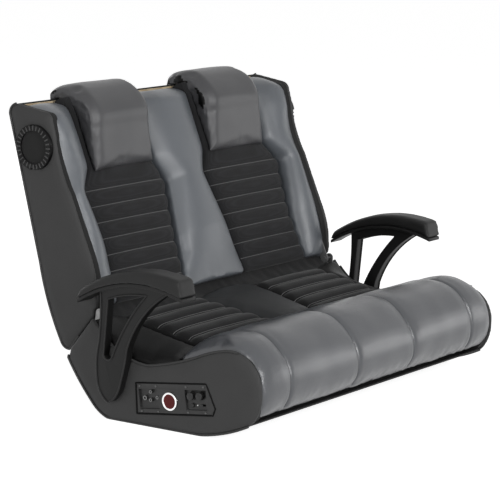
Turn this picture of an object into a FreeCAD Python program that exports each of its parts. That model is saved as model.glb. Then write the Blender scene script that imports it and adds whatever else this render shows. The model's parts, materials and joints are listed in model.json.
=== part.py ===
import FreeCAD, Part
import math
import os
import Sketcher

# Two-seat gaming rocker chair that stands on the floor on a curved base.
# Millimetres. X runs across the chair, -Y is the front, +Z is up.
# The origin is at the middle of the footprint, on the floor.
# Left means the -X side, the side that holds the control panel.

V = FreeCAD.Vector
doc = FreeCAD.newDocument("GamingRocker")
sheet = doc.addObject("Spreadsheet::Sheet", "Dims")

SIZES = {
    # Widths and sheet thicknesses
    "seat_half_width": 500,
    "cover_thickness": 10,
    "cheek_thickness": 18,
    "skin": 4,
    "soft_gap": 0.3,
    # Fold line between the seat unit and the back unit
    "pivot_y": 108,
    "pivot_z": 240,
    "gap_angle": 49.2,
    "gap_width": 10,
    "seat_gap_start": 4,
    "seat_gap_end": 108,
    "back_gap_start": 3,
    "back_gap_end": 130,
    # Side outline of the seat unit
    "land_front": 160,
    "land_rear": 52,
    "ankle_y": 112,
    "ankle_z": 37,
    "ankle_radius": 105,
    "heel_y": 182,
    "heel_z": 131,
    "heel_radius": 600,
    "dip_y": 56,
    "dip_z": 143,
    "scoop_radius": 205,
    "slope_y": 200,
    "slope_z": 181,
    "slope_radius": 700,
    "crest_y": 283,
    "crest_z": 206,
    "crest_radius": 330,
    "brow_y": 332,
    "brow_z": 198,
    "brow_radius": 90,
    "nose_y": 376,
    "nose_z": 112,
    "nose_radius": 85,
    "toe_y": 348,
    "toe_z": 45,
    "toe_radius": 90,
    "rocker_radius": 430,
    # Side outline of the back unit
    "tail_y": 222,
    "tail_z": 160,
    "tail_radius": 26,
    "loin_y": 285,
    "loin_z": 343,
    "loin_radius": 668,
    "rear_top_y": 372,
    "rear_top_z": 690,
    "top_rear_y": 352,
    "top_rear_z": 714,
    "top_corner_radius": 24,
    "top_front_y": 263,
    "top_front_z": 700,
    "top_front_radius": 22,
    "temple_y": 245,
    "temple_z": 687,
    "neck_y": 234,
    "neck_z": 645,
    "neck_radius": 320,
    "wing_y": 190,
    "wing_z": 511,
    "waist_y": 137,
    "waist_z": 384,
    "waist_radius": 260,
    # Frame boards
    "rail_thickness": 15,
    "rail_setback": 9,
    "seat_rail_start": 18,
    "seat_rail_end": 98,
    "back_rail_start": 32,
    "back_rail_end": 118,
    "front_rail_y": 300,
    "front_rail_thickness": 18,
    "front_rail_top": 140,
    "deck_thickness": 12,
    "seat_slope": 10.7,
    "seat_foam": 59,
    "seat_face_drop": 8,
    "center_rib_thickness": 18,
    "lean": 21.9,
    "back_face": 8.4,
    "back_foam": 44.6,
    "back_board_thickness": 9,
    "lightening_radius": 26,
    "top_rail_depth": 45,
    # Upholstery panels of the seat
    "channel_pitch_seat": 44,
    "channel_depth": 6,
    "seat_side_pad": 110,
    "seat_strip_rear": 119,
    "seat_strip_front": 78,
    "seat_front_end": 248,
    "seat_rear_end": 16,
    "strip_crown": 8,
    "edge_drop": 8,
    "bolster_rise": 5,
    "roll_rear_y": 137,
    "roll_crest_y": 256,
    "roll_crest_z": 231,
    "roll_front_y": 384,
    "roll_front_z": 126,
    "roll_bottom_y": 354,
    "roll_bottom_z": 50,
    "roll_seam_inner": 119,
    "roll_seam_depth": 7,
    "roll_end_run": 32,
    # Upholstery panels of the back
    "channel_pitch_back": 41,
    "back_soft_start": 14,
    "insert_bottom_side": 90,
    "insert_bottom_inner": 119,
    "insert_waist_height": 144,
    "insert_waist_side": 97,
    "insert_waist_inner": 102,
    "insert_flare_height": 285,
    "insert_flare_side": 77,
    "insert_flare_inner": 76,
    "insert_neck_height": 345,
    "insert_neck_side": 128,
    "insert_neck_inner": 104,
    "bolster_bulge": 13,
    "center_bulge": 30,
    "back_soft_top": 540,
    # Headrests
    "headrest_inner": 110,
    "headrest_side": 134,
    "headrest_start": 328,
    "headrest_lip": 14,
    "headrest_front_reach": 27,
    "headrest_front_z": 650,
    "headrest_top_run": 39,
    "headrest_rise": 27,
    "headrest_rear_rise": 12,
    "headrest_edge": 6,
    "headrest_edge_run": 28,
    # Armrests
    "arm_web": 24,
    "arm_leg_top_y": 59,
    "arm_leg_top_z": 309,
    "arm_knee_y": 66,
    "arm_knee_z": 185,
    "arm_leg_radius": 700,
    "arm_lobe_rear_y": 73,
    "arm_lobe_rear_z": 98,
    "arm_lobe_top_radius": 220,
    "arm_foot_y": 40,
    "arm_foot_z": 47,
    "arm_foot_radius": 60,
    "arm_lobe_front_y": 5,
    "arm_lobe_front_z": 92,
    "arm_lobe_front_radius": 70,
    "arm_hip_y": 17,
    "arm_hip_z": 180,
    "arm_hip_radius": 500,
    "arm_tip_y": 146,
    "arm_tip_z": 325,
    "arm_strut_radius": 266,
    "window_rear_top_y": 38,
    "window_top_z": 290,
    "window_front_top_y": 76,
    "window_front_top_z": 310,
    "window_foot_y": 40,
    "window_foot_z": 156,
    "window_foot_width": 26,
    "window_foot_radius": 14,
    "window_strut_radius": 490,
    "window_top_radius": 300,
    "pad_rear_y": 118,
    "pad_rear_z": 283,
    "pad_front_y": 190,
    "pad_front_z": 316,
    "pad_arc_radius": 350,
    "pad_thickness_rear": 24,
    "pad_thickness_front": 42,
    "pad_top_radius": 360,
    "pad_width": 58,
    "pad_clearance": 8,
    "pad_round": 9,
    "flange_thickness": 8,
    "flange_inset": 4,
    "arm_bolt_radius": 4,
    "arm_bolt_head": 7,
    "arm_bolt_reach": 14,
    "arm_bolt_head_depth": 6,
    "arm_bolt_clear": 0.2,
    "arm_bolt_high_y": 34,
    "arm_bolt_high_z": 122,
    "arm_bolt_low_y": 40,
    "arm_bolt_low_z": 76,
    # Fold hinges
    "hinge_plate": 3.5,
    "hinge_side_gap": 0.5,
    "hinge_eye": 11,
    "hinge_pin_radius": 4,
    "hinge_running": 0.2,
    "hinge_seat_angle": 84,
    "hinge_back_angle": 66,
    "hinge_strap_length": 88,
    "hinge_clear": 2.8,
    "hinge_pin_head": 6.5,
    "hinge_head_thickness": 2.5,
    # Speakers in the sides of the back
    "speaker_y": 290,
    "speaker_z": 616,
    "speaker_radius": 53.5,
    "speaker_hole": 44,
    "speaker_ring_inner": 38.5,
    "speaker_proud": 12,
    "speaker_tabs": 4,
    "speaker_tab_width": 16,
    "speaker_tab_depth": 4,
    "grille_wall": 2,
    "driver_flange": 5,
    "driver_waist": 32,
    "driver_depth": 34,
    "driver_magnet": 24,
    # Control panel on the left side of the seat
    "panel_y": 126,
    "panel_z": 70,
    "panel_tilt": 6.8,
    "panel_rear": 101,
    "panel_front_top": 107,
    "panel_front_low": 126,
    "panel_low": 30,
    "panel_high": 41,
    "panel_plate": 3,
    "panel_depth": 12,
    "panel_inset": 4,
    "panel_corner": 8,
    "panel_slant": 6,
    "bay_rear_outer": 91,
    "bay_inner": 33,
    "bay_front_inner": 44,
    "bay_front_outer": 104,
    "bay_low": 19,
    "bay_high": 27,
    "bay_depth": 8,
    "screw_head_radius": 2.6,
    "screw_head": 1.6,
    "ring_outer": 21,
    "ring_inner": 16.5,
    "ring_proud": 5,
    "knob_radius": 9,
    "knob_length": 11,
    "knob_shaft": 3,
    "knob_row": 13,
    "volume_place": 60,
    "bass_place": 85,
    "knob_float": 0.8,
    "button_radius": 4.5,
    "button_place": 58,
    "button_row": 9,
    "button_proud": 3.5,
    "button_travel": 2,
    "switch_place": 88,
    "switch_length": 7,
    "switch_height": 4,
    "switch_travel": 6,
    "switch_proud": 3,
    "led_radius": 1.5,
    "led_place": 72,
    "led_row": 9,
    "socket_radius": 4.2,
    "socket_bore": 1.8,
    "socket_length": 6,
    "inlet_radius": 5.5,
    "inlet_bore": 2.75,
    "inlet_pin": 1.05,
    "amp_width": 150,
    "amp_height": 46,
    "amp_depth": 52,
    "amp_drop": 2,
    "screw_step": 5,
    "screw_top_row": 34,
    "screw_low_row": 24.5,
    "lens_proud": 3,
    "running_gap": 0.3,
    "socket_high_y": 58,
    "socket_high_z": 20,
    "socket_low_y": 60,
    "socket_low_z": 1,
    "socket_side_y": 40,
    "socket_side_z": 7,
    "inlet_y": 76,
    "inlet_z": 6,
    # Vibration motors and subwoofer under the seat
    "motor_place": 250,
    "motor_radius": 16,
    "motor_length": 46,
    "motor_y": 120,
    "motor_saddle": 20,
    "motor_drop": 20,
    "sub_radius": 62,
    "sub_depth": 44,
    "sub_magnet": 32,
    "sub_magnet_depth": 18,
    "sub_x": 230,
    "sub_y": 250,
}

for row, (alias, number) in enumerate(SIZES.items(), start=1):
    sheet.set("A%d" % row, alias)
    sheet.set("B%d" % row, str(number))
    sheet.setAlias("B%d" % row, alias)
doc.recompute()
aliases = list(SIZES)


def size(alias):
    """Read one value from the sheet as a plain number."""
    return float(sheet.get(alias))


def cell(alias, formula):
    """Add a worked-out value to the sheet, and return its alias."""
    row = len(aliases) + 1
    sheet.set("A%d" % row, alias)
    sheet.set("B%d" % row, "=" + formula)
    sheet.setAlias("B%d" % row, alias)
    aliases.append(alias)
    sheet.recompute()
    return alias


# Points of the fold gap, on the seat side and on the back side of the line
def gap_point(name, along, side):
    """Name a point at a distance along the fold line and half a gap to one side of it."""
    sign = "+" if side > 0 else "-"
    cell(name + "_y", "pivot_y + %s * cos(gap_angle * 1deg) %s gap_width / 2 * sin(gap_angle * 1deg)"
         % (along, sign))
    cell(name + "_z", "pivot_z - %s * sin(gap_angle * 1deg) %s gap_width / 2 * cos(gap_angle * 1deg)"
         % (along, sign))


cell("back_half_width", "seat_half_width - cheek_thickness - hinge_plate - hinge_side_gap")
cell("seat_insert_outer", "seat_half_width - seat_side_pad")
for station in ("bottom", "waist", "flare", "neck"):
    cell("insert_%s_outer" % station, "back_half_width - insert_%s_side" % station)
cell("headrest_outer", "back_half_width - headrest_side")
cell("headrest_front_y", "top_front_y - headrest_front_reach")
cell("headrest_top_y", "top_front_y + headrest_top_run")
cell("headrest_top_z", "top_rear_z + headrest_rise")
cell("headrest_rear_y", "rear_top_y + headrest_rear_rise")
cell("headrest_rear_z", "top_rear_z + headrest_rear_rise")
gap_point("shoulder", "seat_gap_start", -1)
gap_point("seat_gap_low", "seat_gap_end", -1)
gap_point("back_gap_high", "back_gap_start", 1)
gap_point("back_gap_low", "back_gap_end", 1)

FRAMES = {
    "world": (None, None, None, None),
    "seat": (None, "pivot_y", "pivot_z", "seat_slope"),
    "back": (None, "pivot_y", "pivot_z", cell("back_turn", "-lean")),
    "gap": (None, "pivot_y", "pivot_z", cell("gap_turn", "-gap_angle")),
    "speaker": (cell("speaker_x", "-back_half_width"), "speaker_y", "speaker_z", None),
    "seat_strap": (None, "pivot_y", "pivot_z", cell("seat_strap_turn", "-hinge_seat_angle")),
    "back_strap": (None, "pivot_y", "pivot_z", "hinge_back_angle"),
    "panel": (cell("panel_x", "-seat_half_width"), cell("panel_place_y", "-panel_y"), "panel_z",
              cell("panel_turn", "-panel_tilt")),
}


def frame_placement(frame):
    """Give the placement of a named frame, turned about the X axis."""
    x, y, z, turn = FRAMES[frame]
    base = V(size(x) if x else 0, size(y) if y else 0, size(z) if z else 0)
    return FreeCAD.Placement(base, FreeCAD.Rotation(V(1, 0, 0), size(turn) if turn else 0))


def bind_frame(thing, frame):
    """Put an object in a named frame, and tie the placement to the sheet."""
    thing.Placement = frame_placement(frame)
    x, y, z, turn = FRAMES[frame]
    for axis, alias in (("x", x), ("y", y), ("z", z)):
        if alias:
            thing.setExpression("Placement.Base." + axis, "Dims." + alias)
    if turn:
        thing.setExpression("Placement.Rotation.Angle", "Dims." + turn)


def named(label, formula):
    """Use an alias as it is, and give any other formula a cell of its own."""
    if formula in aliases:
        return formula
    return cell("%s_%d" % (label, len(aliases)), formula)


def arc_ends(start, end, radius, convex):
    """Give the centre of the arc from start to end, with its centre on the left if convex."""
    chord = end - start
    half = chord.Length / 2
    rise = math.sqrt(max(radius * radius - half * half, 0))
    left = V(-chord.y, chord.x, 0).normalize()
    return (start + end) * 0.5 + left * (rise if convex else -rise)


def draw_ring(sketch, label, steps):
    """Draw one closed ring. A step is (y, z), (y, z, radius) or (y, z, radius, "hollow")."""
    cells = [(named(label, step[0]), named(label, step[1])) for step in steps]
    points = [V(size(y), size(z), 0) for y, z in cells]
    starts = []
    count = len(steps)
    for i, step in enumerate(steps):
        here, there = points[i], points[(i + 1) % count]
        if len(step) < 3:
            edge = sketch.addGeometry(Part.LineSegment(here, there), False)
            starts.append((edge, 1, 2))
            continue
        convex = len(step) == 3
        radius = size(step[2])
        center = arc_ends(here, there, radius, convex)
        first, last = (here, there) if convex else (there, here)
        begin = math.atan2(first.y - center.y, first.x - center.x)
        finish = math.atan2(last.y - center.y, last.x - center.x)
        arc = Part.ArcOfCircle(Part.Circle(center, V(0, 0, 1), radius), begin, finish)
        edge = sketch.addGeometry(arc, False)
        starts.append((edge, 1, 2) if convex else (edge, 2, 1))
    for i, (edge, head, tail) in enumerate(starts):
        follower, follower_head, _ = starts[(i + 1) % count]
        sketch.addConstraint(Sketcher.Constraint("Coincident", edge, tail, follower, follower_head))
    for (edge, head, _), (y, z), step in zip(starts, cells, steps):
        for kind, alias in (("DistanceX", y), ("DistanceY", z)):
            number = sketch.addConstraint(Sketcher.Constraint(kind, -1, 1, edge, head, size(alias)))
            sketch.setExpression("Constraints[%d]" % number, "Dims." + alias)
        if len(step) > 2:
            number = sketch.addConstraint(Sketcher.Constraint("Radius", edge, size(step[2])))
            sketch.setExpression("Constraints[%d]" % number, "Dims." + step[2])


def draw_circle(sketch, label, y, z, radius):
    """Draw one circle tied to the sheet."""
    y, z, radius = named(label, y), named(label, z), named(label, radius)
    circle = sketch.addGeometry(Part.Circle(V(size(y), size(z), 0), V(0, 0, 1), size(radius)), False)
    for kind, alias in (("DistanceX", y), ("DistanceY", z)):
        number = sketch.addConstraint(Sketcher.Constraint(kind, -1, 1, circle, 3, size(alias)))
        sketch.setExpression("Constraints[%d]" % number, "Dims." + alias)
    number = sketch.addConstraint(Sketcher.Constraint("Radius", circle, size(radius)))
    sketch.setExpression("Constraints[%d]" % number, "Dims." + radius)


def side_sketch(body, label, rings, x_low):
    """Make a sketch on the body's side plane, moved to x_low. A ring of three names is a circle."""
    sketch = body.newObject("Sketcher::SketchObject", label + "_outline")
    plane = [f for f in body.Origin.OriginFeatures if f.Role == "YZ_Plane"][0]
    sketch.AttachmentSupport = [(plane, "")]
    sketch.MapMode = "FlatFace"
    sketch.AttachmentOffset = FreeCAD.Placement(V(0, 0, size(x_low)), FreeCAD.Rotation())
    sketch.setExpression("AttachmentOffset.Base.z", "Dims." + x_low)
    for ring in rings:
        if isinstance(ring[0], str):
            draw_circle(sketch, label, *ring)
        else:
            draw_ring(sketch, label, ring)
    return sketch


def prism(label, rings, x_low, x_high, frame="world"):
    """Pad a side outline, with any holes, from one X to another."""
    body = doc.addObject("PartDesign::Body", label)
    body.Label = label
    bind_frame(body, frame)
    x_low, x_high = named(label, x_low), named(label, x_high)
    sketch = side_sketch(body, label, rings, x_low)
    pad = body.newObject("PartDesign::Pad", label + "_pad")
    pad.Profile = sketch
    pad.Length = size(x_high) - size(x_low)
    pad.setExpression("Length", "Dims.%s - Dims.%s" % (x_high, x_low))
    sketch.Visibility = False
    return body


def pocket(body, label, rings, x_face, depth):
    """Cut rings into a body from the face at x_face towards +X."""
    before = body.Shape.Volume
    x_face, depth = named(label, x_face), named(label, depth)
    sketch = side_sketch(body, label, rings, x_face)
    cut = body.newObject("PartDesign::Pocket", label + "_pocket")
    cut.Profile = sketch
    cut.Length = size(depth)
    cut.setExpression("Length", "Dims." + depth)
    cut.Reversed = True
    doc.recompute()
    if body.Shape.Volume >= before:
        raise RuntimeError(label + " cuts nothing")
    return cut


def boolean(kind, label, base, tool):
    """Cut one object with another (Cut) or join the two (Fuse)."""
    result = doc.addObject("Part::" + kind, label)
    result.Label = label
    result.Base = base
    result.Tool = tool
    return result


def feature(label, shape, frame="world"):
    """Keep a shape made by code as an object of its own."""
    result = doc.addObject("Part::Feature", label)
    result.Label = label
    result.Shape = shape
    result.Placement = frame_placement(frame).multiply(shape.Placement)
    return result


def mirrored(label, source):
    """Make the right-hand twin of a left-hand piece."""
    result = doc.addObject("Part::Mirroring", label)
    result.Label = label
    result.Source = source
    result.Base = V(0, 0, 0)
    result.Normal = V(1, 0, 0)
    return result


def loft(wires):
    """Make a solid through a row of wires, straight from one to the next."""
    return Part.makeLoft(wires, True, True)


nodes = []


def keep(*things):
    """List objects as finished pieces of the chair."""
    nodes.extend(things)
    return things[0]


# Side outlines shared by the covers, the cheeks, the base and the upholstery
cell("centre", "0 * land_front")
SEAT_RING = [
    (cell("land_front_place", "-land_front"), cell("floor", "0 * land_front")),
    ("land_rear", "floor", "ankle_radius"),
    ("ankle_y", "ankle_z", "heel_radius"),
    ("heel_y", "heel_z"),
    ("seat_gap_low_y", "seat_gap_low_z"),
    ("shoulder_y", "shoulder_z", "scoop_radius", "hollow"),
    (cell("dip_place", "-dip_y"), "dip_z", "slope_radius", "hollow"),
    (cell("slope_place", "-slope_y"), "slope_z", "crest_radius"),
    (cell("crest_place", "-crest_y"), "crest_z", "brow_radius"),
    (cell("brow_place", "-brow_y"), "brow_z", "nose_radius"),
    (cell("nose_place", "-nose_y"), "nose_z", "toe_radius"),
    (cell("toe_place", "-toe_y"), "toe_z", "rocker_radius"),
]
BACK_RING = [
    ("back_gap_high_y", "back_gap_high_z"),
    ("back_gap_low_y", "back_gap_low_z", "tail_radius"),
    ("tail_y", "tail_z", "loin_radius"),
    ("loin_y", "loin_z"),
    ("rear_top_y", "rear_top_z", "top_corner_radius"),
    ("top_rear_y", "top_rear_z"),
    ("top_front_y", "top_front_z", "top_front_radius"),
    ("temple_y", "temple_z"),
    ("neck_y", "neck_z", "neck_radius", "hollow"),
    ("wing_y", "wing_z"),
    ("waist_y", "waist_z", "waist_radius"),
]
for unit in ("seat", "back"):
    cell(unit + "_outer", "-%s_half_width" % unit)
    cell(unit + "_cheek_out", "%s_half_width - cover_thickness" % unit)
    cell(unit + "_cheek_in", "%s_cheek_out - cheek_thickness" % unit)
    cell(unit + "_cover_in", "-%s_cheek_out" % unit)


def slab(y_low, y_high, z_low, z_high, frame="world"):
    """Give a block across the whole chair, from plain numbers in a named frame."""
    reach = size("seat_half_width")
    block = Part.makeBox(2 * reach, y_high - y_low, z_high - z_low, V(-reach, y_low, z_low))
    block.Placement = frame_placement(frame).multiply(block.Placement)
    return block


def rod(y, z, radius, x_low, x_high):
    """Give a cylinder along X from plain numbers."""
    return Part.makeCylinder(radius, x_high - x_low, V(x_low, y, z), V(1, 0, 0))


FAR = 900
ARM_BOLTS = [("arm_bolt_high_y", "arm_bolt_high_z"), ("arm_bolt_low_y", "arm_bolt_low_z")]
cell("arm_bolt_hole", "arm_bolt_radius + arm_bolt_clear")
BOLT_HOLES = [(y, z, "arm_bolt_hole") for y, z in ARM_BOLTS]


def panel_ring(inset):
    """Outline of the control panel in its own frame, drawn in by an inset."""
    return [
        ("-(panel_front_low - %s)" % inset, "-(panel_low - panel_corner * 2)"),
        ("-(panel_front_low - panel_corner - %s)" % inset, "-(panel_low - %s)" % inset),
        ("panel_rear - %s" % inset, "-(panel_low - %s)" % inset),
        ("panel_rear - panel_slant - %s" % inset, "panel_high - %s" % inset),
        ("-(panel_front_top - %s)" % inset, "panel_high - %s" % inset),
    ]


def strap_room(frame, strap_out):
    """Give the space of a left hinge strap, with the soft gap round it."""
    gap = size("soft_gap")
    reach = size("hinge_eye") + gap
    room = Part.makeBox(size("hinge_plate") + 2 * gap, size("hinge_strap_length") + gap, 2 * reach,
                        V(strap_out - gap, 0, -reach))
    room.Placement = frame_placement(frame).multiply(room.Placement)
    return room


def rail_room():
    """Give the space of the seat's rear rail, with the soft gap round it."""
    gap = size("soft_gap")
    reach = size("seat_half_width")
    room = Part.makeBox(2 * reach, size("seat_rail_end") - size("seat_rail_start") + 2 * gap,
                        size("rail_thickness") + 2 * gap,
                        V(-reach, size("seat_rail_start") - gap,
                          -size("rail_setback") - size("rail_thickness") - gap))
    room.Placement = frame_placement("gap").multiply(room.Placement)
    return room


def make_side_covers():
    """Padded side panels: plain outlines with bolt holes, a panel opening and a speaker opening."""
    cell("cutout_inset", "panel_inset - soft_gap")
    cutout = prism("panel_cutout", [panel_ring("cutout_inset")], "-2 * cover_thickness",
                   "2 * cover_thickness + cheek_thickness", "panel")
    blank = prism("seat_side_blank", [SEAT_RING] + BOLT_HOLES, "seat_outer", "seat_cover_in")
    keep(boolean("Cut", "seat_side_cover_left", blank, cutout))
    keep(mirrored("seat_side_cover_right", blank))
    back = prism("back_side_blank", [BACK_RING, ("speaker_y", "speaker_z", "speaker_hole")],
                 "back_outer", "back_cover_in")
    relief = doc.addObject("Part::Cylinder", "hinge_relief")
    relief.setExpression("Radius", "Dims.hinge_eye + Dims.hinge_clear")
    relief.setExpression("Height", "Dims.seat_half_width * 2")
    relief.Placement = FreeCAD.Placement(V(), FreeCAD.Rotation(V(0, 1, 0), 90))
    for axis, alias in (("x", "seat_outer"), ("y", "pivot_y"), ("z", "pivot_z")):
        relief.setExpression("Placement.Base." + axis, "Dims." + alias)
    left = keep(boolean("Cut", "back_side_cover_left", back, relief))
    keep(mirrored("back_side_cover_right", left))
    doc.recompute()
    return blank, back, cutout, relief


seat_blank, back_blank, panel_cutout, relief_tool = make_side_covers()


def outline_face(body):
    """Give the outer outline of a padded body as a flat face in world coordinates."""
    sketch = [o for o in body.Group if o.isDerivedFrom("Sketcher::SketchObject")][0]
    wires = sorted(sketch.Shape.Wires, key=lambda wire: wire.BoundBox.DiagonalLength)
    return Part.Face(wires[-1])


def inset_prism(body, inset, x_low, x_high):
    """Pad the outline of a body again, drawn in by an inset, from one X to another."""
    face = outline_face(body)
    if inset:
        face = face.makeOffset2D(-inset, 0)
    face.translate(V(x_low - face.BoundBox.XMin, 0, 0))
    return face.extrude(V(x_high - x_low, 0, 0))


def cheek_room(body, unit):
    """Give the space that both cheeks of a unit take, with the soft gap round them."""
    inset = size("skin") - size("soft_gap")
    low = size(unit + "_cheek_in") - size("soft_gap")
    high = size(unit + "_cheek_out") + size("soft_gap")
    left = inset_prism(body, inset, -high, -low)
    return left.fuse(inset_prism(body, inset, low, high))


def make_cheeks():
    """Plywood sides of the seat and the back, lightened, with room for what passes through."""
    far = size("seat_half_width")
    bolts = [rod(size(y), size(z), size("arm_bolt_hole"), -far, far) for y, z in ARM_BOLTS]
    seat = inset_prism(seat_blank, size("skin"), -size("seat_cheek_out"), -size("seat_cheek_in"))
    seat = seat.cut(bolts)
    keep(feature("seat_cheek_left", seat.cut(panel_cutout.Shape)))
    keep(feature("seat_cheek_right", seat.mirror(V(), V(1, 0, 0))))
    back = inset_prism(back_blank, size("skin"), -size("back_cheek_out"), -size("back_cheek_in"))
    holes = [rod(size("speaker_y"), size("speaker_z"), size("speaker_hole"), -far, far), relief_tool.Shape]
    for lift in (size("loin_z"), size("wing_z")):
        face_y = size("pivot_y") + (lift - size("pivot_z")) * math.tan(math.radians(size("lean")))
        holes.append(rod(face_y + size("back_foam"), lift, size("lightening_radius"), -far, far))
    back = back.cut(holes)
    keep(feature("back_cheek_left", back))
    keep(feature("back_cheek_right", back.mirror(V(), V(1, 0, 0))))


def make_base():
    """Curved base sheet: the strip of the side outline from the heel round to the toe."""
    reach = size("seat_cheek_out")
    ring = inset_prism(seat_blank, 0, -reach, reach).cut(
        inset_prism(seat_blank, size("skin"), -reach - 1, reach + 1))
    heel = V(-reach, size("heel_y") + 1, size("heel_z"))
    toe = V(-reach, -size("nose_y"), size("toe_z"))
    corners = [heel, toe, V(-reach, -size("nose_y"), -1), V(-reach, heel.y, -1), heel]
    below = Part.Face(Part.makePolygon(corners)).extrude(V(2 * reach, 0, 0))
    keep(feature("rocker_base", ring.common(below)))


def make_seat_frame():
    """Rails, deck and middle rib of the seat, each cut where it meets the next."""
    inside = inset_prism(seat_blank, size("skin"), -size("seat_cheek_in"), size("seat_cheek_in"))
    rail_front = -size("front_rail_y")
    rail_back = rail_front + size("front_rail_thickness")
    keep(feature("seat_front_rail", inside.common(slab(rail_front, rail_back, 0, size("front_rail_top")))))
    cell("seat_rail_half", "seat_cheek_in - hinge_plate - hinge_side_gap")
    cell("seat_rail_x", "-seat_rail_half")
    keep(prism("seat_rear_rail", [[
        ("seat_rail_start", "-rail_setback - rail_thickness"),
        ("seat_rail_end", "-rail_setback - rail_thickness"),
        ("seat_rail_end", "-rail_setback"),
        ("seat_rail_start", "-rail_setback")]], "seat_rail_x", "seat_rail_half", "gap"))
    top = -size("seat_face_drop") - size("seat_foam")
    under_rail = slab(-FAR, FAR, -FAR, -size("rail_setback") - size("rail_thickness"), "gap")
    behind_front = slab(rail_back, FAR, -FAR, FAR)
    deck = slab(-FAR, FAR, top - size("deck_thickness"), top, "seat").common([under_rail])
    deck = deck.common([behind_front]).common([inset_prism(seat_blank, 0, -size("seat_rail_half"),
                                                           size("seat_rail_half"))])
    keep(feature("seat_deck", deck))
    half = size("center_rib_thickness") / 2
    rib = inset_prism(seat_blank, size("skin"), -half, half).common([under_rail]).common([behind_front])
    under_deck = slab(-FAR, FAR, -FAR, top - size("deck_thickness"), "seat")
    keep(feature("seat_center_rib", rib.common([under_deck])))


def make_back_frame():
    """Rear shell, rails, board and middle rib of the back."""
    reach = size("back_cheek_out")
    within = size("back_cheek_in")
    board_front = size("back_face") + size("back_foam")
    board_rear = board_front + size("back_board_thickness")
    rear_half = slab(board_front, FAR, -FAR, FAR, "back")
    ring = inset_prism(back_blank, 0, -reach, reach).cut(
        inset_prism(back_blank, size("skin"), -reach - 1, reach + 1))
    keep(feature("back_rear_shell", ring.common(rear_half)))
    inside = inset_prism(back_blank, size("skin"), -within, within)
    cell("back_rail_x", "-back_cheek_in")
    keep(prism("back_bottom_rail", [[
        ("back_rail_start", "rail_setback"), ("back_rail_end", "rail_setback"),
        ("back_rail_end", "rail_setback + rail_thickness"),
        ("back_rail_start", "rail_setback + rail_thickness")]], "back_rail_x", "back_cheek_in", "gap"))
    over_rail = slab(-FAR, FAR, size("rail_setback") + size("rail_thickness"), FAR, "gap")
    board = slab(board_front, board_rear, -FAR, FAR, "back").common([inside]).common([over_rail])
    keep(feature("back_board", board))
    behind = slab(board_rear, FAR, -FAR, FAR, "back")
    rail_under = size("rear_top_z") - size("top_rail_depth")
    hollow = inside.common([behind])
    keep(feature("back_top_rail", hollow.common([slab(-FAR, FAR, rail_under, FAR)])))
    half = size("center_rib_thickness") / 2
    rib = inset_prism(back_blank, size("skin"), -half, half).common([behind]).common([over_rail])
    keep(feature("back_center_rib", rib.common([slab(-FAR, FAR, -FAR, rail_under)])))


make_cheeks()
make_base()
make_seat_frame()
make_back_frame()


# Upholstery: shares of a run, a rise or a width, from 0 to 1, and the number of sections of a bolster
CROWN_RUN = 0.2
ROLL_FRONT_BULGE = 0.13
ROLL_BROW_RUN = 0.3
ROLL_BROW_RISE = 0.7
ROLL_TOP_BULGE = 0.18
ROLL_END_FULLNESS = 0.8
WAIST_STEPS = (0.3, 0.6)
NECK_STEPS = (0.25, 0.385)
CENTER_START = 0.23
BOLSTER_SECTIONS = 7


def world_height(y, drop):
    """Height, at a world Y, of the plane that lies a drop below the seat frame's own plane."""
    slope = math.radians(size("seat_slope"))
    return size("pivot_z") + (y - size("pivot_y")) * math.tan(slope) - drop / math.cos(slope)


def face_height(y):
    return world_height(y, size("seat_face_drop"))


def deck_height(y):
    return world_height(y, size("seat_face_drop") + size("seat_foam"))


def bent_wire(corners, bends):
    """Close a wire through corner points; bends maps an edge number to the middle of its arc."""
    edges = []
    for i, corner in enumerate(corners):
        following = corners[(i + 1) % len(corners)]
        if i in bends:
            edges.append(Part.Arc(corner, bends[i], following).toShape())
        else:
            edges.append(Part.LineSegment(corner, following).toShape())
    return Part.Wire(edges)


def channel_wire(x, start, end, pitch, low, high, depth):
    """Section of a channelled pad: a flat underside and one arc for each channel."""
    count = max(1, round((end - start) / pitch))
    step = (end - start) / count
    corners = [V(x, start, low)] + [V(x, start + i * step, high - depth) for i in range(count + 1)]
    corners.append(V(x, end, low))
    bends = {i + 1: V(x, start + (i + 0.5) * step, high) for i in range(count)}
    return bent_wire(corners, bends)


def make_seat_cushions():
    """Channelled pads, crowned across each seat, with a plan that follows the middle strip."""
    rear, front = -size("seat_rear_end"), -size("seat_front_end")
    inner_rear, inner_front = size("seat_strip_rear"), size("seat_strip_front")
    outer = size("seat_insert_outer")
    run = (outer - inner_front) * CROWN_RUN
    wires = []
    for x, drop in ((inner_front, size("edge_drop")), (inner_front + run, 0), (outer - run, 0),
                    (outer, size("edge_drop"))):
        wires.append(channel_wire(-x, front, rear, size("channel_pitch_seat"), -size("seat_foam"),
                                  -drop, size("channel_depth")))
    pad = loft(wires)
    plan = [V(-outer, front, -FAR), V(-inner_front, front, -FAR), V(-inner_rear, rear, -FAR),
            V(-outer, rear, -FAR), V(-outer, front, -FAR)]
    pad = pad.common(Part.Face(Part.makePolygon(plan)).extrude(V(0, 0, 2 * FAR)))
    pad.translate(V(0, 0, -size("seat_face_drop")))
    pad.Placement = frame_placement("seat").multiply(pad.Placement)
    keep(feature("seat_cushion_left", pad))
    keep(feature("seat_cushion_right", pad.mirror(V(), V(1, 0, 0))))


def cover_edge(face, y, high):
    """Height of the top (or front) edge of a side outline on the upright line at y."""
    x = face.BoundBox.XMin
    line = Part.makeLine(V(x, y, -FAR), V(x, y, high))
    return line.common(face).BoundBox.ZMax


def seat_world_y(y, z):
    """Give the world Y of a point of the seat frame."""
    return frame_placement("seat").multVec(V(0, y, z)).y


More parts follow.
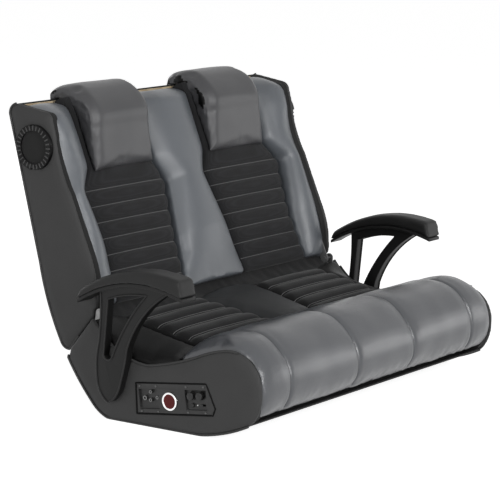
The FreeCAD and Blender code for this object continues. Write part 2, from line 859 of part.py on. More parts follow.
def make_seat_bolsters():
    """Outer pads that fall from the channelled pads to the side panels."""
    face = outline_face(seat_blank)
    rear = seat_world_y(-size("seat_rear_end"), -size("seat_foam"))
    front = seat_world_y(-size("seat_front_end"), -size("seat_face_drop")) + size("soft_gap")
    inner = size("seat_insert_outer") + size("soft_gap")
    outer = size("seat_cheek_out") - size("soft_gap")
    wires = []
    for i in range(BOLSTER_SECTIONS):
        y = rear + (front - rear) * i / (BOLSTER_SECTIONS - 1)
        low = deck_height(y)
        top = face_height(y) - size("edge_drop")
        edge = max(cover_edge(face, y, FAR), low) + size("bolster_rise")
        corners = [V(-inner, y, low), V(-outer, y, low), V(-outer, y, edge), V(-inner, y, top)]
        middle = V(-(inner + outer) / 2, y, (edge + top) / 2 + size("bolster_rise"))
        wires.append(bent_wire(corners, {2: middle}))
    bolster = loft(wires).cut([cheek_room(seat_blank, "seat"), relief_tool.Shape, rail_room(),
                               strap_room("seat_strap", -size("seat_cheek_in"))])
    keep(feature("seat_bolster_left", bolster))
    keep(feature("seat_bolster_right", bolster.mirror(V(), V(1, 0, 0))))


def make_center_strip():
    """Crowned strip between the two seats, narrower at the front."""
    low = -size("seat_face_drop") - size("seat_foam")
    top = -size("seat_face_drop") - size("edge_drop")
    wires = []
    for end in ("rear", "front"):
        y = -size("seat_%s_end" % end)
        half = size("seat_strip_" + end) - size("soft_gap")
        corners = [V(half, y, low), V(half, y, top), V(-half, y, top), V(-half, y, low)]
        wires.append(bent_wire(corners, {1: V(0, y, top + size("edge_drop") + size("strip_crown"))}))
    keep(feature("seat_center_strip", loft(wires), "seat"))


def roll_wire(x, fullness):
    """Section of the front roll, from the drawn-in end shape to the full shape."""
    rear_y = -size("roll_rear_y")
    rail_y = -size("front_rail_y")
    rail_back = rail_y + size("front_rail_thickness")
    gap = size("soft_gap")

    def between(end, full):
        return end + (full - end) * fullness

    crest_y = between(-size("crest_y"), -size("roll_crest_y"))
    crest_z = between(size("crest_z") + size("bolster_rise"), size("roll_crest_z"))
    front_y = between(-size("nose_y") - gap, -size("roll_front_y"))
    front_z = between(size("nose_z"), size("roll_front_z"))
    foot_y = between(-size("toe_y") - size("skin"), -size("roll_bottom_y"))
    foot_z = size("roll_bottom_z")
    rear_top = face_height(rear_y) - size("edge_drop") * (2 - fullness)
    corners = [
        V(x, rear_y, deck_height(rear_y)),
        V(x, rail_back, deck_height(rail_back)),
        V(x, rail_back, size("front_rail_top")),
        V(x, rail_y - gap, size("front_rail_top")),
        V(x, rail_y - gap, foot_z),
        V(x, foot_y, foot_z),
        V(x, front_y, front_z),
        V(x, crest_y, crest_z),
        V(x, rear_y, rear_top),
    ]
    bends = {
        5: V(x, (foot_y + front_y) / 2 - (front_z - foot_z) * ROLL_FRONT_BULGE,
             (foot_z + front_z) / 2),
        6: V(x, front_y + (crest_y - front_y) * ROLL_BROW_RUN,
             front_z + (crest_z - front_z) * ROLL_BROW_RISE),
        7: V(x, (crest_y + rear_y) / 2,
             (crest_z + rear_top) / 2 + (crest_z - rear_top) * ROLL_TOP_BULGE),
    }
    return bent_wire(corners, bends)


def make_front_roll():
    """Five crowned sections of one padded roll, drawn in at the seams and at both ends."""
    inner, outer = size("roll_seam_inner"), size("seat_insert_outer")
    end = size("seat_cheek_out") - size("soft_gap")
    seam = 1 - size("roll_seam_depth") / (size("roll_crest_z") - size("crest_z"))
    run = size("roll_end_run")
    half_row = [(0, 1), (inner - run, 1), (inner, seam), (inner + run, 1), (outer - run, 1),
                (outer, seam), (outer + run, 1), (end - run, ROLL_END_FULLNESS), (end, 0)]
    row = [(-x, fullness) for x, fullness in reversed(half_row[1:])] + half_row
    roll = loft([roll_wire(x, fullness) for x, fullness in row])
    keep(feature("front_roll", roll.cut([cheek_room(seat_blank, "seat")])))


def back_front(z):
    """Where the side outline's front edge lies at a height of the back frame."""
    face = outline_face(back_blank)
    face.Placement = frame_placement("back").inverse().multiply(face.Placement)
    x = face.BoundBox.XMin
    line = Part.makeLine(V(x, -FAR, z), V(x, size("back_face") + size("back_foam"), z))
    return line.common(face).BoundBox.YMin


def insert_edges():
    """Heights of the back frame with the outer and inner edge of the channelled panel."""
    stations = [(size("back_soft_start"), size("insert_bottom_outer"), size("insert_bottom_inner"))]
    for place in ("waist", "flare", "neck"):
        stations.append((size("insert_%s_height" % place), size("insert_%s_outer" % place),
                         size("insert_%s_inner" % place)))
    top = (size("back_soft_top"),) + stations[-1][1:]
    return stations + [top]


def edge_at(z, column):
    """Edge of the channelled panel at a height, from the row of stations."""
    rows = insert_edges()
    for low, high in zip(rows, rows[1:]):
        if z <= high[0]:
            share = (z - low[0]) / (high[0] - low[0])
            return low[column] + (high[column] - low[column]) * share
    return rows[-1][column]


def to_back(shape):
    """Move a shape that was made in the back frame into the world."""
    moved = shape.copy()
    moved.Placement = frame_placement("back").multiply(shape.Placement)
    return moved


def back_outline_room():
    reach = size("back_half_width")
    return inset_prism(back_blank, 0, -reach, reach)


def make_back_cushions():
    """Channelled panels of the back, crowned across, with the photographed waist and flare."""
    start, top = size("back_soft_start"), size("back_soft_top")
    face, rear = size("back_face"), size("back_face") + size("back_foam")
    inner = min(row[2] for row in insert_edges())
    outer = max(row[1] for row in insert_edges())
    run = (outer - inner) * CROWN_RUN
    wires = []
    for x, drop in ((inner, size("edge_drop")), (inner + run, 0), (outer - run, 0),
                    (outer, size("edge_drop"))):
        wires.append(channel_wire(-x, start, top, size("channel_pitch_back"), -rear, -face - drop,
                                  size("channel_depth")))
    pad = loft(wires)
    pad.rotate(V(), V(1, 0, 0), 90)
    plan = [V(-outside, -FAR, z) for z, outside, _ in insert_edges()]
    plan += [V(-inside, -FAR, z) for z, _, inside in reversed(insert_edges())]
    plan.append(plan[0])
    pad = to_back(pad.common([Part.Face(Part.makePolygon(plan)).extrude(V(0, 2 * FAR, 0))]))
    pad = pad.common([back_outline_room()])
    keep(feature("back_cushion_left", pad))
    keep(feature("back_cushion_right", pad.mirror(V(), V(1, 0, 0))))


def bolster_stations():
    heights = {size("back_soft_start"), size("back_soft_top")}
    heights.update(row[0] for row in insert_edges())
    heights.update(size("insert_waist_height") * share for share in WAIST_STEPS)
    heights.add((size("insert_waist_height") + size("insert_flare_height")) / 2)
    heights.update(size("insert_neck_height") + size("headrest_start") * share for share in NECK_STEPS)
    return sorted(heights)


def make_back_bolsters():
    """Outer bolsters that stand proud of the panels, and the rounded strip between the seats."""
    face = size("back_face")
    rear = face + size("back_foam") - size("soft_gap")
    outer = size("back_cheek_out") - size("soft_gap")
    highest = max(z for z in bolster_stations()[:-1])
    side, middle = [], []
    for z in bolster_stations():
        inside = edge_at(z, 1) + size("soft_gap")
        front = back_front(min(z, highest))
        corners = [V(-inside, rear, z), V(-outer, rear, z), V(-outer, front, z), V(-inside, face, z)]
        crest = V(-(inside + outer) / 2, (front + face) / 2 - size("bolster_bulge"), z)
        side.append(bent_wire(corners, {2: crest}))
        half = edge_at(z, 2) - size("soft_gap")
        growth = CENTER_START + (1 - CENTER_START) * z / size("insert_waist_height")
        bulge = size("center_bulge") * min(1, growth)
        corners = [V(half, rear, z), V(half, face, z), V(-half, face, z), V(-half, rear, z)]
        middle.append(bent_wire(corners, {1: V(0, face - bulge, z)}))
    room = back_outline_room()
    driver = rod(size("speaker_y"), size("speaker_z"), size("speaker_hole") + size("soft_gap"),
                 -size("back_half_width"), -size("back_cheek_in") + size("driver_depth"))
    bolster = to_back(loft(side)).common([room])
    bolster = bolster.cut([cheek_room(back_blank, "back"), driver, relief_tool.Shape,
                           strap_room("back_strap", -size("back_cheek_in"))])
    keep(feature("back_bolster_left", bolster))
    keep(feature("back_bolster_right", bolster.mirror(V(), V(1, 0, 0))))
    keep(feature("back_center_bolster", to_back(loft(middle)).common([room])))


def headrest_wire(x, inset):
    """Section of a headrest: down the front of the back, over its top and a little behind it."""
    gap = size("soft_gap")
    turn = frame_placement("back")
    low = turn.multVec(V(0, size("back_face") - gap, size("headrest_start")))
    lip = turn.multVec(V(0, size("back_face") - size("headrest_lip") + inset, size("headrest_start")))
    top_front = V(0, size("top_front_y"), size("top_front_z"))
    top_rear = V(0, size("top_rear_y"), size("top_rear_z"))
    line = (top_rear - top_front).normalize()
    face = turn.multVec(V(0, size("back_face") - gap, 0))
    lean = math.radians(size("lean"))
    rise = V(0, math.sin(lean), math.cos(lean))
    reach = ((top_front - face).cross(line)).x / (rise.cross(line)).x
    corner = face + rise * reach + V(0, 0, gap)
    corners = [
        V(x, low.y, low.z),
        V(x, corner.y, corner.z),
        V(x, top_rear.y + gap, top_rear.z + gap),
        V(x, size("rear_top_y") + gap, size("rear_top_z") + gap),
        V(x, size("headrest_rear_y") - inset, size("headrest_rear_z") - inset),
        V(x, size("headrest_top_y"), size("headrest_top_z") - inset),
        V(x, size("headrest_front_y") + inset, size("headrest_front_z")),
        V(x, lip.y, lip.z),
    ]
    round_corner = (size("top_corner_radius") + gap) * math.sqrt(0.5)
    bends = {
        2: V(x, size("rear_top_y") - size("top_corner_radius") + round_corner,
             size("rear_top_z") + round_corner),
        4: V(x, (size("headrest_rear_y") + size("headrest_top_y")) / 2 + inset,
             max(size("headrest_top_z"), size("headrest_rear_z")) + size("headrest_edge") - inset),
        5: V(x, size("headrest_front_y") + 2 * inset + size("headrest_lip"),
             size("headrest_top_z") - size("headrest_edge_run") - inset),
    }
    return bent_wire(corners, bends)


def make_headrests():
    inner, outer, run = size("headrest_inner"), size("headrest_outer"), size("headrest_edge_run")
    edge = size("headrest_edge")
    row = ((inner, edge), (inner + run, 0), (outer - run, 0), (outer, edge))
    pillow = loft([headrest_wire(-x, inset) for x, inset in row])
    keep(feature("headrest_left", pillow))
    keep(feature("headrest_right", pillow.mirror(V(), V(1, 0, 0))))


make_seat_cushions()
make_seat_bolsters()
make_center_strip()
make_front_roll()
make_back_cushions()
make_back_bolsters()
make_headrests()


# Armrests
def make_brackets():
    """A moulded web with a window, and a flange along its top for the pad."""
    cell("web_in", "-seat_half_width")
    cell("web_out", "-seat_half_width - arm_web")
    cell("pad_out", "-back_half_width - pad_clearance - pad_width")
    cell("pad_in", "pad_out + pad_width")
    cell("web_arc_radius", "pad_arc_radius - flange_thickness / 2")
    web = [
        ("arm_foot_y", "arm_foot_z", "arm_foot_radius"),
        ("arm_lobe_rear_y", "arm_lobe_rear_z", "arm_lobe_top_radius"),
        ("arm_knee_y", "arm_knee_z", "arm_leg_radius", "hollow"),
        ("arm_leg_top_y", "arm_leg_top_z", "web_arc_radius"),
        ("-arm_tip_y", "arm_tip_z", "arm_strut_radius", "hollow"),
        ("-arm_hip_y", "arm_hip_z", "arm_hip_radius"),
        ("arm_lobe_front_y", "arm_lobe_front_z", "arm_lobe_front_radius"),
    ]
    window = [
        ("window_foot_y - window_foot_width / 2", "window_foot_z", "window_foot_radius"),
        ("window_foot_y + window_foot_width / 2", "window_foot_z"),
        ("window_rear_top_y", "window_top_z", "window_top_radius"),
        ("-window_front_top_y", "window_front_top_z", "window_strut_radius", "hollow"),
    ]
    blank = prism("armrest_web", [web, window], "web_out", "web_in")
    doc.recompute()
    pocket(blank, "armrest_bolt_holes", BOLT_HOLES, "web_in - arm_bolt_reach", "arm_bolt_reach")
    flange = prism("armrest_flange", [[
        ("-pad_front_y", "pad_front_z - flange_thickness", "pad_arc_radius", "hollow"),
        ("pad_rear_y", "pad_rear_z - flange_thickness"),
        ("pad_rear_y", "pad_rear_z", "pad_arc_radius"),
        ("-pad_front_y", "pad_front_z")]], "pad_out + flange_inset", "pad_in - flange_inset")
    bracket = keep(boolean("Fuse", "armrest_bracket_left", blank, flange))
    keep(mirrored("armrest_bracket_right", bracket))


def make_arm_pads():
    """Arched pads whose undersides follow the flange, with rounded top edges."""
    pad = prism("armrest_pad_left", [[
        ("-pad_front_y", "pad_front_z", "pad_arc_radius", "hollow"),
        ("pad_rear_y", "pad_rear_z"),
        ("pad_rear_y - pad_round", "pad_rear_z + pad_thickness_rear", "pad_top_radius"),
        ("-pad_front_y + pad_round", "pad_front_z + pad_thickness_front")]], "pad_out", "pad_in")
    doc.recompute()
    top = [face for face in pad.Shape.Faces if face.CenterOfMass.z == max(
        other.CenterOfMass.z for other in pad.Shape.Faces)][0]
    names = ["Edge%d" % number for number, edge in enumerate(pad.Shape.Edges, start=1)
             if any(edge.isSame(other) for other in top.Edges)]
    block = pad.Tip
    rounding = pad.newObject("PartDesign::Fillet", "armrest_pad_rounding")
    rounding.Base = (block, names)
    rounding.Radius = size("pad_round")
    rounding.setExpression("Radius", "Dims.pad_round")
    doc.recompute()
    keep(pad)
    keep(mirrored("armrest_pad_right", pad))


def make_arm_bolts():
    """Two bolts on each side, from the inner face of the cheek into the bracket."""
    face = -size("seat_cheek_in")
    tip = -size("seat_half_width") - size("arm_bolt_reach") + size("soft_gap")
    bolts = []
    for y, z in ARM_BOLTS:
        shank = rod(size(y), size(z), size("arm_bolt_radius"), tip, face)
        head = rod(size(y), size(z), size("arm_bolt_head"), face, face + size("arm_bolt_head_depth"))
        bolts.append(shank.fuse(head))
    bolts += [bolt.mirror(V(), V(1, 0, 0)) for bolt in bolts]
    keep(feature("armrest_bolts", Part.makeCompound(bolts)))


# Fold hinges
STRAP_RINGS = [[
    ("centre", "-hinge_eye"),
    ("hinge_strap_length", "-hinge_eye"),
    ("hinge_strap_length", "hinge_eye"),
    ("centre", "hinge_eye", "hinge_eye"),
    ("-hinge_eye", "centre", "hinge_eye")],
    ("centre", "centre", cell("hinge_hole", "hinge_pin_radius + hinge_running")),
]


def make_hinges():
    """Two steel straps on each side that turn on one pin, which the seat strap holds."""
    cell("seat_strap_out", "-seat_cheek_in")
    cell("back_strap_out", "-back_cheek_in")
    for unit in ("seat", "back"):
        strap = keep(prism("hinge_%s_strap_left" % unit, STRAP_RINGS, unit + "_strap_out",
                           unit + "_strap_out + hinge_plate", unit + "_strap"))
        keep(mirrored("hinge_%s_strap_right" % unit, strap))
    y, z = size("pivot_y"), size("pivot_z")
    out = size("seat_strap_out") - size("hinge_running")
    far = size("back_strap_out") + size("hinge_plate") + size("hinge_running")
    pin = rod(y, z, size("hinge_pin_radius"), out, far)
    for x in (out - size("hinge_head_thickness"), far):
        pin = pin.fuse(rod(y, z, size("hinge_pin_head"), x, x + size("hinge_head_thickness")))
    keep(feature("hinge_pins", Part.makeCompound([pin, pin.mirror(V(), V(1, 0, 0))])))


# Speakers
def make_speaker_trims():
    """Round trims with four notches in their outer edge."""
    ring = prism("speaker_trim_left", [("centre", "centre", "speaker_radius"),
                                       ("centre", "centre", "speaker_ring_inner")],
                 "-speaker_proud", "centre", "speaker")
    doc.recompute()
    half, edge = "speaker_tab_width / 2", "speaker_radius"
    notch = pocket(ring, "speaker_notch", [[
        ("-" + half, edge + " - speaker_tab_depth"), (half, edge + " - speaker_tab_depth"),
        (half, edge + " + speaker_tab_depth"), ("-" + half, edge + " + speaker_tab_depth")]],
        "-speaker_proud", "speaker_proud / 2")
    pattern = ring.newObject("PartDesign::PolarPattern", "speaker_notches")
    pattern.Originals = [notch]
    pattern.Axis = ([f for f in ring.Origin.OriginFeatures if f.Role == "X_Axis"][0], [""])
    pattern.Angle = 360
    pattern.Occurrences = int(size("speaker_tabs"))
    ring.Tip = pattern
    doc.recompute()
    keep(ring)
    keep(mirrored("speaker_trim_right", ring))


def make_grilles():
    """Cloth discs on a stiff back, half way down the bores of the trims."""
    cell("grille_face", "-speaker_proud / 2 - grille_wall")
    grille = keep(prism("speaker_grille_left", [("centre", "centre", "speaker_ring_inner")],
                        "grille_face", "-speaker_proud / 2", "speaker"))
    keep(mirrored("speaker_grille_right", grille))


def make_drivers():
    """Loudspeaker drivers: a flange, a tapering basket and a magnet, behind each grille."""
    front = -size("back_half_width")
    cheek = -size("back_cheek_in") - size("soft_gap")
    rim, waist, magnet = size("speaker_hole") - size("soft_gap"), size("driver_waist"), size("driver_magnet")
    end = -size("back_cheek_in") + size("driver_depth")
    half = [V(front, 0, 0), V(front, rim, 0), V(front + size("driver_flange"), rim, 0), V(cheek, waist, 0),
            V(cheek, magnet, 0), V(end, magnet, 0), V(end, 0, 0), V(front, 0, 0)]
    driver = Part.Face(Part.makePolygon(half)).revolve(V(), V(1, 0, 0), 360)
    driver.translate(V(0, size("speaker_y"), size("speaker_z")))
    keep(feature("speaker_driver_left", driver))
    keep(feature("speaker_driver_right", driver.mirror(V(), V(1, 0, 0))))


# Control panel, in its own frame: x goes into the seat, y to the rear, z up
def block_ring(y_low, y_high, z_low, z_high):
    """Outline of a rectangle from formulas."""
    return [(y_low, z_low), (y_high, z_low), (y_high, z_high), (y_low, z_high)]


def switch_ring(clearance):
    """Outline of the sliding switch at rest, or of its slot with a clearance round it."""
    far = "-(switch_place + switch_length / 2 + %s)"
    near = "-(switch_place - switch_length / 2 - switch_travel / 2 - %s)"
    low, high = "-(button_row + switch_height / 2 + %s)", "-(button_row - switch_height / 2 - %s)"
    start = "centre" if clearance == "centre" else "switch_travel / 2 + " + clearance
    rest = "-switch_travel / 2" if clearance == "centre" else start
    return block_ring(far % rest, near % clearance, low % clearance, high % clearance)


def make_bezel():
    """Panel moulding: a flange on the cover, a plug through it, and two recessed bays."""
    cell("panel_face", "-panel_plate")
    cell("bay_floor", "bay_depth - panel_plate")
    flange = prism("panel_flange", [panel_ring("centre")], "panel_face", "centre", "panel")
    plug = prism("panel_plug", [panel_ring("panel_inset")], "centre", "panel_depth", "panel")
    bays = prism("panel_bays", [block_ring("bay_inner", "bay_rear_outer", "-bay_low", "bay_high"),
                                block_ring("-bay_front_outer", "-bay_front_inner", "-bay_low", "bay_high")],
                 "2 * panel_face", "bay_floor", "panel")
    holes = [("-volume_place", "knob_row", "knob_shaft + running_gap"),
             ("-bass_place", "knob_row", "knob_shaft + running_gap"),
             ("-button_place", "-button_row", "button_radius + running_gap"),
             ("-led_place", "-led_row", "led_radius"), switch_ring("running_gap")]
    cuts = prism("panel_holes", holes, "centre", "2 * panel_depth", "panel")
    plate = boolean("Fuse", "panel_plate_and_plug", flange, plug)
    tool = boolean("Fuse", "panel_bays_and_holes", bays, cuts)
    keep(boolean("Cut", "control_panel_bezel", plate, tool))


def panel_rods(label, places, radius, x_low, x_high, bore=None):
    """Round pieces at places of the panel, each with a bore if one is given."""
    low, high = size(named(label, x_low)), size(named(label, x_high))
    pieces = []
    for place in places:
        y, z = [size(named(label, formula)) for formula in place]
        piece = rod(y, z, size(radius), low, high)
        if bore:
            piece = piece.cut(rod(y, z, size(bore), low, high))
        pieces.append(piece)
    return pieces


def make_panel_trim():
    """Screws, light ring, its lens, the small lamp and the sockets of the rear bay."""
    across = ["bay_inner + screw_step", "bay_rear_outer - screw_step", "-(bay_front_inner + screw_step)",
              "-(bay_front_outer - screw_step)"]
    places = [(y, z) for y in across for z in ("screw_top_row", "-screw_low_row")]
    screws = panel_rods("panel_screws", places, "screw_head_radius", "panel_face - screw_head", "panel_face")
    keep(feature("panel_screws", Part.makeCompound(screws), "panel"))
    keep(prism("light_ring", [("centre", "centre", "ring_outer"), ("centre", "centre", "ring_inner")],
               "panel_face - ring_proud", "panel_face", "panel"))
    keep(prism("ring_lens", [("centre", "centre", "ring_inner")], "panel_face - lens_proud", "panel_face",
               "panel"))
    keep(prism("status_lamp", [("-led_place", "-led_row", "led_radius")], "bay_floor - led_radius / 2",
               "panel_depth - led_radius", "panel"))
    rounds = [("socket_high_y", "socket_high_z"), ("socket_low_y", "socket_low_z"),
              ("socket_side_y", "socket_side_z")]
    sockets = panel_rods("sockets", rounds, "socket_radius", "bay_floor - socket_length", "bay_floor",
                         "socket_bore")
    inlet = [("inlet_y", "inlet_z")]
    sockets += panel_rods("inlet", inlet, "inlet_radius", "bay_floor - socket_length", "bay_floor",
                          "inlet_bore")
    sockets += panel_rods("inlet_contact", inlet, "inlet_pin", "bay_floor - socket_length / 2", "bay_floor")
    keep(feature("panel_sockets", Part.makeCompound(sockets), "panel"))


def make_controls():
    """Two turning knobs, a push button and a sliding switch in the front bay."""
    cell("knob_back", "bay_floor - knob_float")
    for name in ("volume", "bass"):
        place = "-%s_place" % name
        grip = prism(name + "_grip", [(place, "knob_row", "knob_radius")], "knob_back - knob_length",
                     "knob_back", "panel")
        shaft = prism(name + "_shaft", [(place, "knob_row", "knob_shaft")], "knob_back",
                      "panel_depth - running_gap", "panel")
        keep(boolean("Fuse", name + "_knob", grip, shaft))
    keep(prism("power_button", [("-button_place", "-button_row", "button_radius")],
               "bay_floor - button_proud", "panel_depth - button_travel - running_gap", "panel"))
    keep(prism("mode_switch", [switch_ring("centre")], "bay_floor - switch_proud",
               "panel_depth - running_gap", "panel"))


# Amplifier, vibration motors and subwoofer, inside the seat
def make_audio():
    keep(prism("amplifier_module", [block_ring("-amp_width / 2", "amp_width / 2",
                                               "-amp_height / 2 - amp_drop", "amp_height / 2 - amp_drop")],
               "panel_depth", "panel_depth + amp_depth", "panel"))
    under = -size("seat_face_drop") - size("seat_foam") - size("deck_thickness")
    radius, saddle, drop = size("motor_radius"), size("motor_saddle"), size("motor_drop")
    x, y, length = size("motor_place"), -size("motor_y"), size("motor_length")
    motor = rod(y, under - drop, radius, x - length / 2, x + length / 2)
    motor = motor.fuse(Part.makeBox(saddle, 2 * radius, drop, V(x - saddle / 2, y - radius, under - drop)))
    keep(feature("vibration_motors", Part.makeCompound([motor, motor.mirror(V(), V(1, 0, 0))]), "seat"))
    depth = size("sub_depth")
    place = V(size("sub_x"), -size("sub_y"), under - depth)
    woofer = Part.makeCylinder(size("sub_radius"), depth, place)
    place.z -= size("sub_magnet_depth")
    woofer = woofer.fuse(Part.makeCylinder(size("sub_magnet"), size("sub_magnet_depth"), place))
    keep(feature("subwoofer", woofer, "seat"))


make_brackets()
make_arm_pads()
make_arm_bolts()
make_hinges()
make_speaker_trims()
make_grilles()
make_drivers()
make_bezel()
make_panel_trim()
make_controls()
make_audio()
doc.recompute()

# Nothing is written unless every object and every shape is sound
for thing in doc.Objects:
    if "Invalid" in thing.State or "Error" in thing.State:
        raise RuntimeError(thing.Label + " failed to build")
for node in nodes:
    if node.Shape.isNull() or not node.Shape.isValid():
        raise RuntimeError(node.Label + " has no sound shape")
os.makedirs("parts", exist_ok=True)
for node in nodes:
    node.Shape.exportStep("parts/%s.step" % node.Label)
print("pieces written:", len(nodes))
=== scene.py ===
# %% [markdown]
# A two-seat gaming rocker: an L of a seat and a back, padded in coated fabric, that stands on a curved base.
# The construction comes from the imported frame. This script gives each piece its finish, and turns the plain
# soft solids into sewn, filled upholstery. Metres throughout, +Z up, -Y to the front.

# %% Load the frame
import bmesh
import bpy
import json
import math
import numpy as np
from mathutils import Matrix, Vector, bvhtree, kdtree, noise

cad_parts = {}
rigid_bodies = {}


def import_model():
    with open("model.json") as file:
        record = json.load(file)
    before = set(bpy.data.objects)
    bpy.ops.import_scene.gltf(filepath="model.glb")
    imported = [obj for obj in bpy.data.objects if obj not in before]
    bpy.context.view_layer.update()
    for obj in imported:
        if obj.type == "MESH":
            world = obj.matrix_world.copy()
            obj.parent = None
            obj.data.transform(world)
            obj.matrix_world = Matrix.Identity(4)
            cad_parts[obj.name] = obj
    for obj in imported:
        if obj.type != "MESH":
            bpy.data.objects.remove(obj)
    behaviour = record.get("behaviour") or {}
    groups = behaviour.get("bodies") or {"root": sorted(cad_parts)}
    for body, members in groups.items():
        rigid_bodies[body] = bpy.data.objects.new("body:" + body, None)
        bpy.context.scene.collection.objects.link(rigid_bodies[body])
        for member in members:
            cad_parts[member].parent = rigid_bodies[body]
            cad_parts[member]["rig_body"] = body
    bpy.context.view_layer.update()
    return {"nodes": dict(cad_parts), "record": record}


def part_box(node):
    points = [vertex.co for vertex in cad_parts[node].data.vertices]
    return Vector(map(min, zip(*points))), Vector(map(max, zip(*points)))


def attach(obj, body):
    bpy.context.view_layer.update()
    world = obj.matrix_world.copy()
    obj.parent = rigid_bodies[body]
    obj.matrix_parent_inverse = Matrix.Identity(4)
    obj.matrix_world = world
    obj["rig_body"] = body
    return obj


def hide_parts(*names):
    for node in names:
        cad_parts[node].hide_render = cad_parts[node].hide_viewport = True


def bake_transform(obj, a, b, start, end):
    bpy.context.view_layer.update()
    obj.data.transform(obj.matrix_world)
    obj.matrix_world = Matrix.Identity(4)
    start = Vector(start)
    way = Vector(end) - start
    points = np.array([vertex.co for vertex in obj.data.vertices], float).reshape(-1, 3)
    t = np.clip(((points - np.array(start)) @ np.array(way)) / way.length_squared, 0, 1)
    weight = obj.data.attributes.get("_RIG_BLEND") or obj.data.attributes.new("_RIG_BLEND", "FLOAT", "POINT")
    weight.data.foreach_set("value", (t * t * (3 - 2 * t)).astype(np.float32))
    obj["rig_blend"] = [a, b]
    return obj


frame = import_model()
scene = bpy.context.scene
print("pieces in the frame:", len(frame["nodes"]))

# %% [markdown]
# The camera stands where the photographer's stood: in front and to the left of the chair, a little above the
# seats. A long lens far away keeps the two seats nearly the same size, as in a catalogue picture.

# %% Camera
CAMERA_PLACE = Vector((-4.366, -3.206, 1.263))
CAMERA_TARGET = Vector((0, 0.022, 0.333))
SENSOR_WIDTH = 36
FOCAL_LENGTH = 161.3


def aimed(name, data, place):
    """Put a camera or a lamp at a place, turned towards the middle of the chair."""
    holder = bpy.data.objects.new(name, data)
    holder.location = place
    holder.rotation_euler = (CAMERA_TARGET - Vector(place)).to_track_quat("-Z", "Y").to_euler()
    scene.collection.objects.link(holder)
    return holder


camera_data = bpy.data.cameras.new("camera")
camera_data.sensor_width = SENSOR_WIDTH
camera_data.lens = FOCAL_LENGTH
scene.camera = aimed("camera", camera_data, CAMERA_PLACE)
scene.view_settings.view_transform = "Standard"
print("camera distance:", round((CAMERA_TARGET - CAMERA_PLACE).length, 3))

# %% [markdown]
# Every finish is a tree of shader nodes. One helper adds a node, sets its sockets by name and hands it back,
# so that a material reads as a list of what it is made of.

# %% Node helper
def add(tree, kind, inputs=None, **settings):
    """Add a shader node, set its settings, and fill its sockets by name or number."""
    node = tree.nodes.new(kind)
    for key, value in settings.items():
        setattr(node, key, value)
    for key, value in (inputs or {}).items():
        if isinstance(value, bpy.types.NodeSocket):
            tree.links.new(value, node.inputs[key])
        else:
            node.inputs[key].default_value = value
    return node


def combine(tree, operation, first, second, **settings):
    """Add a math node on two sockets or numbers, and hand back its output."""
    return add(tree, "ShaderNodeMath", {0: first, 1: second}, operation=operation, **settings).outputs[0]


def object_point(tree):
    """Where a point of the surface lies, in the piece's own coordinates."""
    return add(tree, "ShaderNodeTexCoord").outputs["Object"]


def shade_group(name, inputs, outputs):
    """Start a shader node group with named number inputs and outputs."""
    group = bpy.data.node_groups.new(name, "ShaderNodeTree")
    for label, value in inputs:
        socket = group.interface.new_socket(label, in_out="INPUT", socket_type="NodeSocketFloat")
        socket.default_value = value
    for label in outputs:
        group.interface.new_socket(label, in_out="OUTPUT", socket_type="NodeSocketFloat")
    start = group.nodes.new("NodeGroupInput")
    end = group.nodes.new("NodeGroupOutput")
    return group, start, end


def grey(level, tint=(0, 0, 0)):
    """Turn an 8-bit picture level and a small tint into a scene colour."""
    return tuple(((level + shift) / 255) ** 2.2 for shift in tint) + (1,)


# %% [markdown]
# Coated fabric has a fine pebble grain, made in a press. Cells of a Voronoi texture give the pebbles, and
# slow noise gives the shallow unevenness of stretched cloth. Both are heights, which catch the light as
# relief.

# %% Grain of coated fabric
grain_inputs = [("Scale", 900), ("Unevenness", 0.3)]
grain_group, start, end = shade_group("vinyl grain", grain_inputs, ["Height", "Tone"])
place = object_point(grain_group)
pebbles = add(grain_group, "ShaderNodeTexVoronoi", {"Vector": place, "Scale": start.outputs["Scale"]},
              feature="SMOOTH_F1")
slow = add(grain_group, "ShaderNodeTexNoise", {"Vector": place, "Scale": 14, "Detail": 3})
uneven = combine(grain_group, "MULTIPLY", slow.outputs["Fac"], start.outputs["Unevenness"])
height = combine(grain_group, "ADD", pebbles.outputs["Distance"], uneven)
grain_group.links.new(height, end.inputs["Height"])
grain_group.links.new(slow.outputs["Fac"], end.inputs["Tone"])
print("group:", grain_group.name)

# %% [markdown]
# The seat and back panels are an open sports knit. A Voronoi texture with no randomness is a regular lattice
# of dots, which reads as the small holes of the knit. Turn lays the lattice along a sloping panel.

# %% Open knit
KNIT_SCALE = 420
knit_group, start, end = shade_group("open knit", [("Scale", KNIT_SCALE), ("Turn", 0)], ["Height", "Tone"])
turned = add(knit_group, "ShaderNodeVectorRotate", {"Vector": object_point(knit_group),
             "Angle": start.outputs["Turn"]}, rotation_type="X_AXIS").outputs[0]
holes = add(knit_group, "ShaderNodeTexVoronoi", {"Vector": turned, "Scale": start.outputs["Scale"],
            "Randomness": 0}, feature="F1")
fuzz = add(knit_group, "ShaderNodeTexNoise", {"Vector": turned, "Scale": 30, "Detail": 4})
knit_group.links.new(holes.outputs["Distance"], end.inputs["Height"])
knit_group.links.new(fuzz.outputs["Fac"], end.inputs["Tone"])
print("group:", knit_group.name)

# %% [markdown]
# Use shows first on edges, which rub pale and shiny, and dust settles on what faces up. Both effects are
# masks from 0 to 1 that any material may mix with.

